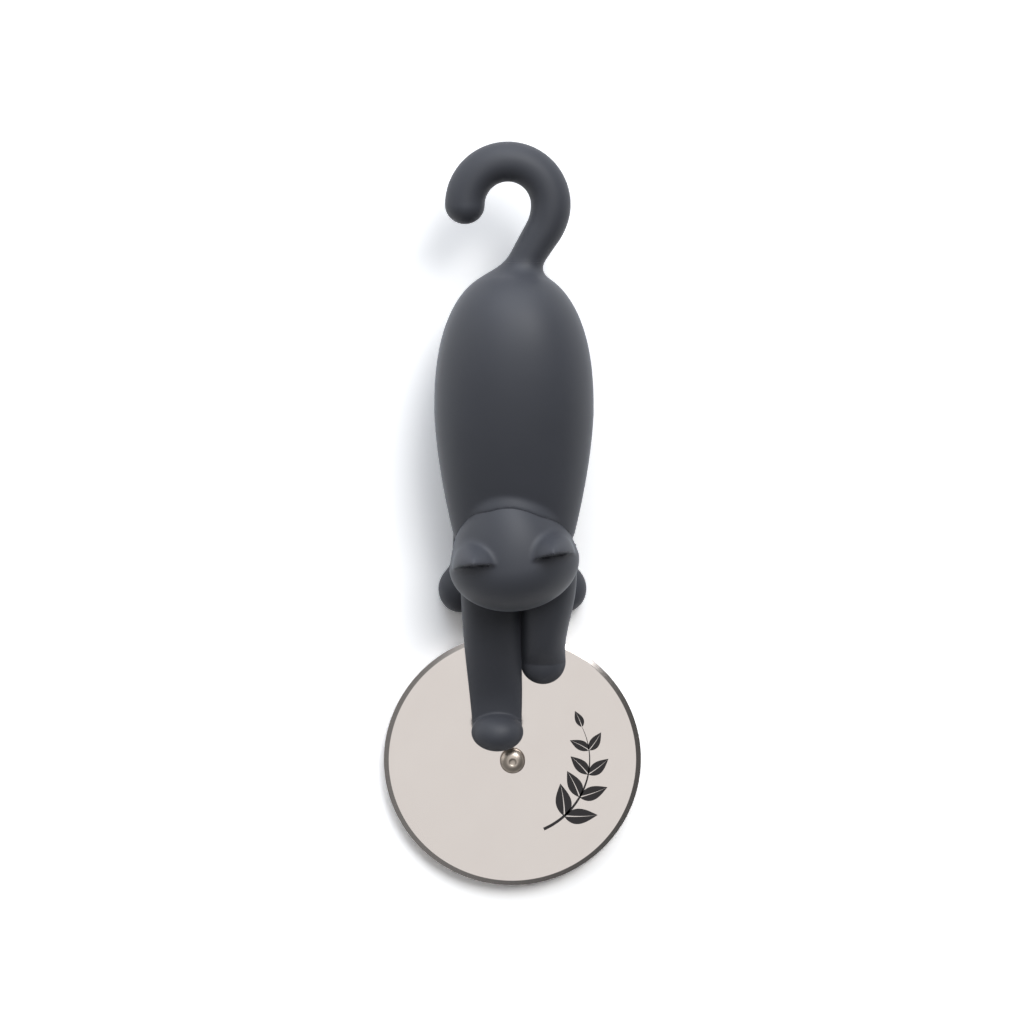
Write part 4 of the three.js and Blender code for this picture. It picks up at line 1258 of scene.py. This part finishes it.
def ring_profile(inner, outer, bottom, top):
    """A flat ring with broken corners."""
    return [
        (inner, bottom + CORNER),
        (inner + CORNER, bottom),
        (outer - CORNER, bottom),
        (outer, bottom + CORNER),
        (outer, top - CORNER),
        (outer - CORNER, top),
        (inner + CORNER, top),
        (inner, top - CORNER),
    ]


def bush_profile():
    bore, flange = AXLE_RADIUS + BORE_GAP, bush_high.y
    lower = [(bore, bush_low.z), (flange - CORNER, bush_low.z), (flange, bush_low.z + CORNER)]
    sleeve = [(bush_radius, blade_low.z), (bush_radius, bush_high.z), (bore, bush_high.z)]
    return [*lower, (flange, blade_low.z), *sleeve]


bush = turned("bush_sleeve", bush_profile(), RING_SIDES)
place_piece("bush_sleeve", bush, acetal, "wheel", "bearing_plastic", "wheel_bush")
for node in ("rear_washer", "front_washer"):
    low, high = span(node)
    ring = turned(f"{node}_ring", ring_profile(AXLE_RADIUS + BORE_GAP, high.y, low.z, high.z), RING_SIDES)
    place_piece(f"{node}_ring", ring, acetal, "handle", "bearing_plastic", node)

# %% [markdown]
# ## Arm
# The arm is a strip of steel, cranked where it passes the wheel's rim, with a round nose behind the axle.
# Its field is the distance to a bent line in thickness and to a plan outline in width.

# %% Arm
ARM_NOSE = 5.6
ARM_TAPER = 21.0
CRANK_GAP = 2.2
CRANK_RUN = 9.0
CRANK_BEND = 1.6
CRANK_EASE = 0.3  # height at either end of the crank that counts as level
ARM_CORNER = 3.0
ARM_EDGE = 0.3
ARM_SPACING = 0.3


def arm_form(x, y, z):
    rise = arm_high.z - arm_low.z - ARM_THICKNESS
    ramp = (y - rim - CRANK_GAP) * rise / CRANK_RUN
    lift = common(join(ramp, np.full_like(y, rise), CRANK_BEND), np.zeros_like(y), CRANK_BEND)
    steep = math.hypot(1, rise / CRANK_RUN)
    leaning = (lift > CRANK_EASE) & (lift < rise - CRANK_EASE)
    off_line = np.abs(z - arm_low.z - ARM_THICKNESS / 2 - lift) / np.where(leaning, steep, 1)
    half = ARM_NOSE + (arm_high.x - ARM_NOSE) * np.clip(y / ARM_TAPER, 0, 1)
    plan = np.where(y < 0, np.hypot(x, y) - ARM_NOSE, np.abs(x) - half)
    plan = common(plan, y - arm_high.y, ARM_CORNER)
    strip = common(off_line - ARM_THICKNESS / 2, plan, ARM_EDGE)
    return np.maximum(strip, TENON_RADIUS + BORE_GAP - np.hypot(x, y))


arm_start = [value - MARGIN for value in arm_low]
arm_end = [value + MARGIN for value in arm_high]
arm = mesh_of("arm_strip", *skin_of(arm_form, arm_start, arm_end, ARM_SPACING))
place_piece("arm_strip", arm, arm_finish, "handle", "satin_steel", "wheel_arm")

# %% [markdown]
# ## Geometry trees
# What repeats is left to Geometry Nodes. A tree gets named inputs for its sizes, its instances are made
# real and take a material, and the evaluated object becomes a plain mesh, because the export keeps no
# instances.


# %% Geometry trees
def geometry_tree(name, sizes):
    """An empty geometry tree with named number inputs, its graph and its input wires."""
    tree = bpy.data.node_groups.new(name, "GeometryNodeTree")
    tree.interface.new_socket("Geometry", in_out="INPUT", socket_type="NodeSocketGeometry")
    for size in sizes:
        tree.interface.new_socket(size, in_out="INPUT", socket_type="NodeSocketFloat")
    tree.interface.new_socket("Geometry", in_out="OUTPUT", socket_type="NodeSocketGeometry")
    graph = Graph(tree)
    entry = graph.node("NodeGroupInput").socket.node
    return graph, {socket.name: Wire(graph, socket) for socket in entry.outputs if socket.name}


def grown(name, graph, sizes, start):
    """The plain mesh that a geometry tree makes from a starting mesh."""
    seed = bpy.data.objects.new(name, start)
    bpy.context.scene.collection.objects.link(seed)
    modifier = seed.modifiers.new(name, "NODES")
    modifier.node_group = graph.tree
    for item in graph.tree.interface.items_tree:
        if item.in_out == "INPUT" and item.name in sizes:
            modifier[item.identifier] = sizes[item.name]
    made = bpy.data.meshes.new_from_object(seed.evaluated_get(bpy.context.evaluated_depsgraph_get()))
    seed.modifiers.remove(modifier)
    bpy.data.objects.remove(seed)
    return made


def finish_tree(graph, geometry, material):
    """Ends a geometry tree: instances made real, one material, out."""
    real = graph.node("GeometryNodeRealizeInstances", None, {"Geometry": geometry})
    dressed = graph.node("GeometryNodeSetMaterial", None, {"Geometry": real, "Material": material})
    graph.node("NodeGroupOutput", None, {"Geometry": dressed})


# %% [markdown]
# ## Screws
# Four pan-head screws hold the arm and the shells, in two pairs of one length each. One screw is meshed
# from a field with a true thread and a cross recess. A geometry tree sets it on the two seats of a pair,
# and its Turn input puts the heads on top or below.

# %% Screws
SCREW_SPACING = 0.16
SCREW_BOX_HALF = 3.2
SCREW_BOX_BELOW = 2.4
SCREW_BOX_ABOVE = 0.6
SCREW_HEAD_RADIUS = 2.7
SCREW_HEAD_EDGE = 0.3
DOME_HEIGHT = 1.6  # of the dome's middle, over the face that bears
DOME_RADIUS = 3.4
SCREW_POINT = 0.8  # how fast the point narrows
SCREW_RADIUS = 1.4
THREAD_PITCH = 1.1
THREAD_DEPTH = 0.3
RECESS_ARM = (1.5, 0.36)  # half length and half width of the cross recess
RECESS_DEPTH = 1.1


def screw_form(length):
    """A field of one screw: its head bears at height 0 and its threaded shank runs up."""

    def form(x, y, z):
        radius, angle = np.hypot(x, y), np.arctan2(y, x)
        half = SCREW_HEAD_HEIGHT / 2
        disc = np.maximum(radius - SCREW_HEAD_RADIUS, np.abs(z + half) - half)
        dome = np.hypot(radius, z - DOME_HEIGHT) - DOME_RADIUS
        head = common(disc, dome, SCREW_HEAD_EDGE)
        wave = np.abs((z / THREAD_PITCH - angle / math.tau) % 1 - 0.5) * 2
        point = SCREW_POINT * np.maximum(z - length + SCREW_RADIUS, 0)
        thread = radius + point - SCREW_RADIUS + THREAD_DEPTH * (1 - wave)
        shank = np.maximum(thread, np.abs(z - length / 2) - length / 2)
        longer, shorter = np.maximum(np.abs(x), np.abs(y)), np.minimum(np.abs(x), np.abs(y))
        arms = np.maximum(longer - RECESS_ARM[0], shorter - RECESS_ARM[1])
        cross = np.maximum(arms, z + SCREW_HEAD_HEIGHT - RECESS_DEPTH)
        return np.maximum(np.minimum(head, shank), -cross)

    return form


def screw_mesh(length):
    low = (-SCREW_BOX_HALF, -SCREW_BOX_HALF, -SCREW_BOX_BELOW)
    high = (SCREW_BOX_HALF, SCREW_BOX_HALF, length + SCREW_BOX_ABOVE)
    return mesh_of("screw", *skin_of(screw_form(length), low, high, SCREW_SPACING))


INSTANCE_SHAPE = 4  # the Object Info node's output of geometry


def screw_pair(name, first, second, turned_over):
    """Two screws of one length, set on two points by a geometry tree."""
    low, high = span(first)
    template = bpy.data.objects.new("screw_template", screw_mesh(high.z - low.z - SCREW_HEAD_HEIGHT))
    graph, inputs = geometry_tree(name, ["Turn"])
    shape = graph.node("GeometryNodeObjectInfo", None, {"Object": template}, output=INSTANCE_SHAPE)
    turn = graph.vector(inputs["Turn"], 0.0, 0.0)
    sockets = {"Points": inputs["Geometry"], "Instance": shape, "Rotation": turn}
    finish_tree(graph, graph.node("GeometryNodeInstanceOnPoints", None, sockets), screw_finish)
    seats = []
    for node in (first, second):
        low, high = span(node)
        bearing = high.z - SCREW_HEAD_HEIGHT if turned_over else low.z + SCREW_HEAD_HEIGHT
        seats.append((0, (low.y + high.y) / 2, bearing))
    mesh = grown(name, graph, {"Turn": math.pi if turned_over else 0.0}, mesh_of("seats", seats, []))
    bpy.data.objects.remove(template)
    place_piece(name, mesh, screw_finish, "handle", "satin_steel", first, second)


screw_pair("arm_screw_pair", "arm_screw_front", "arm_screw_rear", True)
screw_pair("shell_screw_pair", "shell_screw_front", "shell_screw_rear", False)

# %% [markdown]
# ## Print on the blade
# The blade carries a small black print. Here it is a plain sprig of leaves that follows the rim. Leaves
# repeat along a path, so a geometry tree sets pairs of leaves on points of an arc, smaller towards the
# tip, and gives the whole sprig the thickness of a coat of ink.

# %% Print on the blade
SPRIG = {
    "Radius": 21.0,
    "Start": math.radians(-66),
    "Sweep": math.radians(92),
    "Stem": 0.75,
    "Leaf length": 9.6,
    "Leaf width": 4.4,
    "Vein": 0.4,
    "Leaf angle": math.radians(48),
    "Ink": 0.03,
}
LEAF_PAIRS = 5
FIRST_LEAF = 1.05  # size of the first pair
LEAF_SHRINK = 0.55  # what is lost of that towards the tip
LEAF_SWELL = 0.8  # below 1 a leaf is widest before its middle
LEAF_BEND = 0.12
STEM_TIP = 0.15  # share of the stem's width that is left at its tip
END_SHARE = 0.02
PATH_STEPS = 96
STEM_STEPS = 64
LEAF_STEPS = 17
WELD = 1e-6
INK_LIFT = 0.004
UPWARD = (0.0, 0.0, 1.0)


def strip_places(graph):
    """The share along and across a flat strip, each from 0 to 1."""
    x, y, _ = graph.parts(graph.node("GeometryNodeInputPosition"))
    return x + 0.5, y + 0.5


def strip(graph, steps, place):
    """A flat strip, one wide and one long, whose points are moved to a place."""
    sockets = {"Size X": 1.0, "Size Y": 1.0, "Vertices X": steps, "Vertices Y": 2}
    grid = graph.node("GeometryNodeMeshGrid", None, sockets)
    return graph.node("GeometryNodeSetPosition", None, {"Geometry": grid, "Position": place})


def welded(graph, geometry):
    return graph.node("GeometryNodeMergeByDistance", None, {"Geometry": geometry, "Distance": WELD})


def stem(graph, inputs, path):
    """A strip along the path that thins towards its tip."""
    along, across = strip_places(graph)
    on_path = graph.node("GeometryNodeSampleCurve", {"mode": "FACTOR"}, {"Curves": path, "Factor": along}, 1)
    heading = Wire(graph, on_path.socket.node.outputs["Tangent"])
    sideways = graph.vector_maths("CROSS_PRODUCT", UPWARD, heading)
    reach = (across - 0.5) * inputs["Stem"] * (1 + STEM_TIP - along) * MM
    sockets = {"Vector": sideways, "Scale": reach}
    offset = graph.node("ShaderNodeVectorMath", {"operation": "SCALE"}, sockets)
    return strip(graph, STEM_STEPS, graph.vector_maths("ADD", on_path, offset))


def half_leaf(graph, inputs, side):
    """Half of a leaf, from its vein out to one side."""
    along, across = strip_places(graph)
    swell = graph.maths("SINE", along**LEAF_SWELL * math.pi)
    width = swell * inputs["Leaf width"] * MM / 2
    vein = inputs["Vein"] * (1 - along) * MM / 2
    bend = along * along * inputs["Leaf length"] * (MM * LEAF_BEND)
    share = across if side > 0 else 1 - across
    out = (vein + share * width) * side
    return strip(graph, LEAF_STEPS, graph.vector(along * inputs["Leaf length"] * MM, out + bend, 0.0))


def leaves(graph, inputs, path):
    """Pairs of leaves on the path's points, and one leaf on its tip."""
    sockets = {"Curve": path, "Count": LEAF_PAIRS + 1}
    points = graph.node("GeometryNodeResampleCurve", {"mode": "COUNT"}, sockets)
    share = graph.node("GeometryNodeSplineParameter")
    tangent = graph.node("GeometryNodeInputTangent")
    ahead = graph.node("FunctionNodeAlignRotationToVector", {"axis": "X"}, {"Vector": tangent})
    leaf = graph.joined([half_leaf(graph, inputs, side) for side in (-1, 1)])
    size = FIRST_LEAF - share * LEAF_SHRINK
    last = graph.maths("GREATER_THAN", share, 1 - END_SHARE)
    first = graph.maths("LESS_THAN", share, END_SHARE)
    rows = []
    for side in (-1, 0, 1):
        spread = graph.vector(0.0, 0.0, inputs["Leaf angle"] * side)
        turn = graph.node("FunctionNodeRotateRotation", {"rotation_space": "LOCAL"}, [ahead, spread])
        chosen = last if side == 0 else 1 - last - first
        sockets = {"Points": points, "Selection": chosen, "Instance": leaf, "Rotation": turn, "Scale": size}
        rows.append(graph.node("GeometryNodeInstanceOnPoints", None, sockets))
    return rows


def inked(graph, inputs, flat):
    """A flat form given the thickness of a coat of ink, closed below, on the blade's face."""
    sockets = {"Mesh": flat, "Offset Scale": inputs["Ink"] * MM, "Individual": False}
    coat = graph.node("GeometryNodeExtrudeMesh", {"mode": "FACES"}, sockets)
    under = graph.node("GeometryNodeFlipFaces", None, {"Mesh": flat})
    closed = welded(graph, graph.joined([coat, under]))
    lift = {"Geometry": closed, "Translation": (0.0, 0.0, (blade_high.z + INK_LIFT) * MM)}
    return graph.node("GeometryNodeTransform", None, lift)


def sprig_tree():
    graph, inputs = geometry_tree("sprig", list(SPRIG))
    arc_sockets = {
        "Resolution": PATH_STEPS,
        "Radius": inputs["Radius"] * MM,
        "Start Angle": inputs["Start"],
        "Sweep Angle": inputs["Sweep"],
    }
    path = graph.node("GeometryNodeCurveArc", {"mode": "RADIUS"}, arc_sockets)
    pieces = [stem(graph, inputs, path), *leaves(graph, inputs, path)]
    flat = graph.node("GeometryNodeRealizeInstances", None, {"Geometry": graph.joined(pieces)})
    finish_tree(graph, inked(graph, inputs, welded(graph, flat)), ink)
    return graph


sprig = grown("sprig_print", sprig_tree(), SPRIG, bpy.data.meshes.new("empty"))
place_piece("sprig_print", sprig, ink, "wheel", "soft_touch")

# %% [markdown]
# ## Floor
# The tool lies on a plain white floor. Its colour is raised only for rays from the camera and from
# mirrors, so it looks white and keeps the shadow, while it throws little light back up at the object.

# %% Floor
FLOOR_HALF = 6.0
FLOOR_TONE = 0.4
FLOOR_SEEN = 1.51  # the tone that the camera and mirrors see, so that the lit floor is white
FLOOR_DROP = 0.00002


def white_floor():
    material = bpy.data.materials.new("white_floor")
    material.use_nodes = True
    graph = Graph(material.node_tree)
    seen = graph.rays("Camera", "Glossy", "Transmission")
    tone = FLOOR_TONE + seen * (FLOOR_SEEN - FLOOR_TONE)
    matt = graph.node("ShaderNodeBsdfDiffuse", None, {"Color": tone})
    graph.node("ShaderNodeOutputMaterial", None, {"Surface": matt})
    return material


def add_floor():
    corners = [(x * FLOOR_HALF, y * FLOOR_HALF) for x, y in ((-1, -1), (1, -1), (1, 1), (-1, 1))]
    mesh = bpy.data.meshes.new("floor")
    mesh.from_pydata([(x, y, -FLOOR_DROP) for x, y in corners], [], [(0, 1, 2, 3)])
    mesh.materials.append(white_floor())
    floor = bpy.data.objects.new("floor", mesh)
    bpy.context.scene.collection.objects.link(floor)


add_floor()
print(f"floor {2 * FLOOR_HALF} m wide")

# %% [markdown]
# ## Studio sky
# The light is a sky of four round soft panels: a strong one high behind the tail and to the right, a cool
# one low behind the tail, a weak one low on the left and a weak one overhead. The camera sees white
# beyond the floor. Mirrors see white near the horizon and where the blade's face looks, and darker walls
# between, which give the bevel and the rivet their dark tones. Lamps could do the same, but a panel in
# the sky has no hard edge to show in the steel.

# %% Studio sky
WHITE = (1.0, 1.0, 1.0, 1.0)
COOL = (0.94, 0.99, 1.07, 1.0)
SURROUND = 0.01
HORIZON = 0.15  # height, of 1, up to which mirrors see the white background
WALLS = (0.26, 0.12)  # the share of white that mirrors see above that, on the left and on the right
WALL_TURN = 0.5  # how far to either side, of 1, the walls change
# Azimuths are counted from the right by way of the tail, and tilts from straight up, all in degrees.
Lamp = namedtuple("Lamp", "level azimuth tilt inner outer tone", defaults=[WHITE])
CEILING = Lamp(level=1.0, azimuth=270.0, tilt=8.0, inner=12.0, outer=18.0)  # only mirrors see it
KEY = Lamp(level=8.7, azimuth=62.0, tilt=38.0, inner=8.0, outer=18.0)
BEHIND = Lamp(level=3.7, azimuth=92.0, tilt=64.0, inner=12.0, outer=32.0, tone=COOL)
FILL = Lamp(level=1.4, azimuth=158.0, tilt=72.0, inner=8.0, outer=30.0)
OVERHEAD = Lamp(level=1.2, azimuth=90.0, tilt=12.0, inner=8.0, outer=26.0)
PANELS = (KEY, BEHIND, FILL, OVERHEAD)


def panel_strength(graph, direction, lamp):
    """A round soft panel, full within its inner angle and gone at its outer one."""
    azimuth, tilt = math.radians(lamp.azimuth), math.radians(lamp.tilt)
    towards = (math.sin(tilt) * math.cos(azimuth), math.sin(tilt) * math.sin(azimuth), math.cos(tilt))
    closeness = graph.vector_maths("DOT_PRODUCT", direction, towards, output=1)
    edge, full = math.cos(math.radians(lamp.outer)), math.cos(math.radians(lamp.inner))
    return graph.ramp(closeness, edge, full) * lamp.level


def panel(graph, direction, lamp):
    strength = panel_strength(graph, direction, lamp)
    return graph.node("ShaderNodeBackground", None, {"Color": lamp.tone, "Strength": strength})


def add_sky():
    sky = bpy.data.worlds.new("studio_sky")
    sky.use_nodes = True
    graph = Graph(sky.node_tree)
    direction = graph.node("ShaderNodeTexCoord")
    light = graph.node("ShaderNodeBackground", None, {"Strength": SURROUND})
    for lamp in PANELS:
        light = graph.node("ShaderNodeAddShader", None, [light, panel(graph, direction, lamp)])
    white = graph.node("ShaderNodeBackground", None, {"Color": WHITE})
    side, _, height = graph.parts(direction)
    walls = graph.ramp(side, -WALL_TURN, WALL_TURN, *WALLS)
    opening = graph.ramp(height, 0.0, HORIZON, 1.0, 0.0) + panel_strength(graph, direction, CEILING)
    mirrored = graph.rays("Glossy", "Transmission") * (walls + (1 - walls) * opening)
    seen = graph.rays("Camera") + mirrored
    mixed = graph.node("ShaderNodeMixShader", None, [seen, light, white])
    graph.node("ShaderNodeOutputWorld", None, [mixed])
    bpy.context.scene.world = sky


add_sky()
print("sky panels at azimuths", [lamp.azimuth for lamp in PANELS])
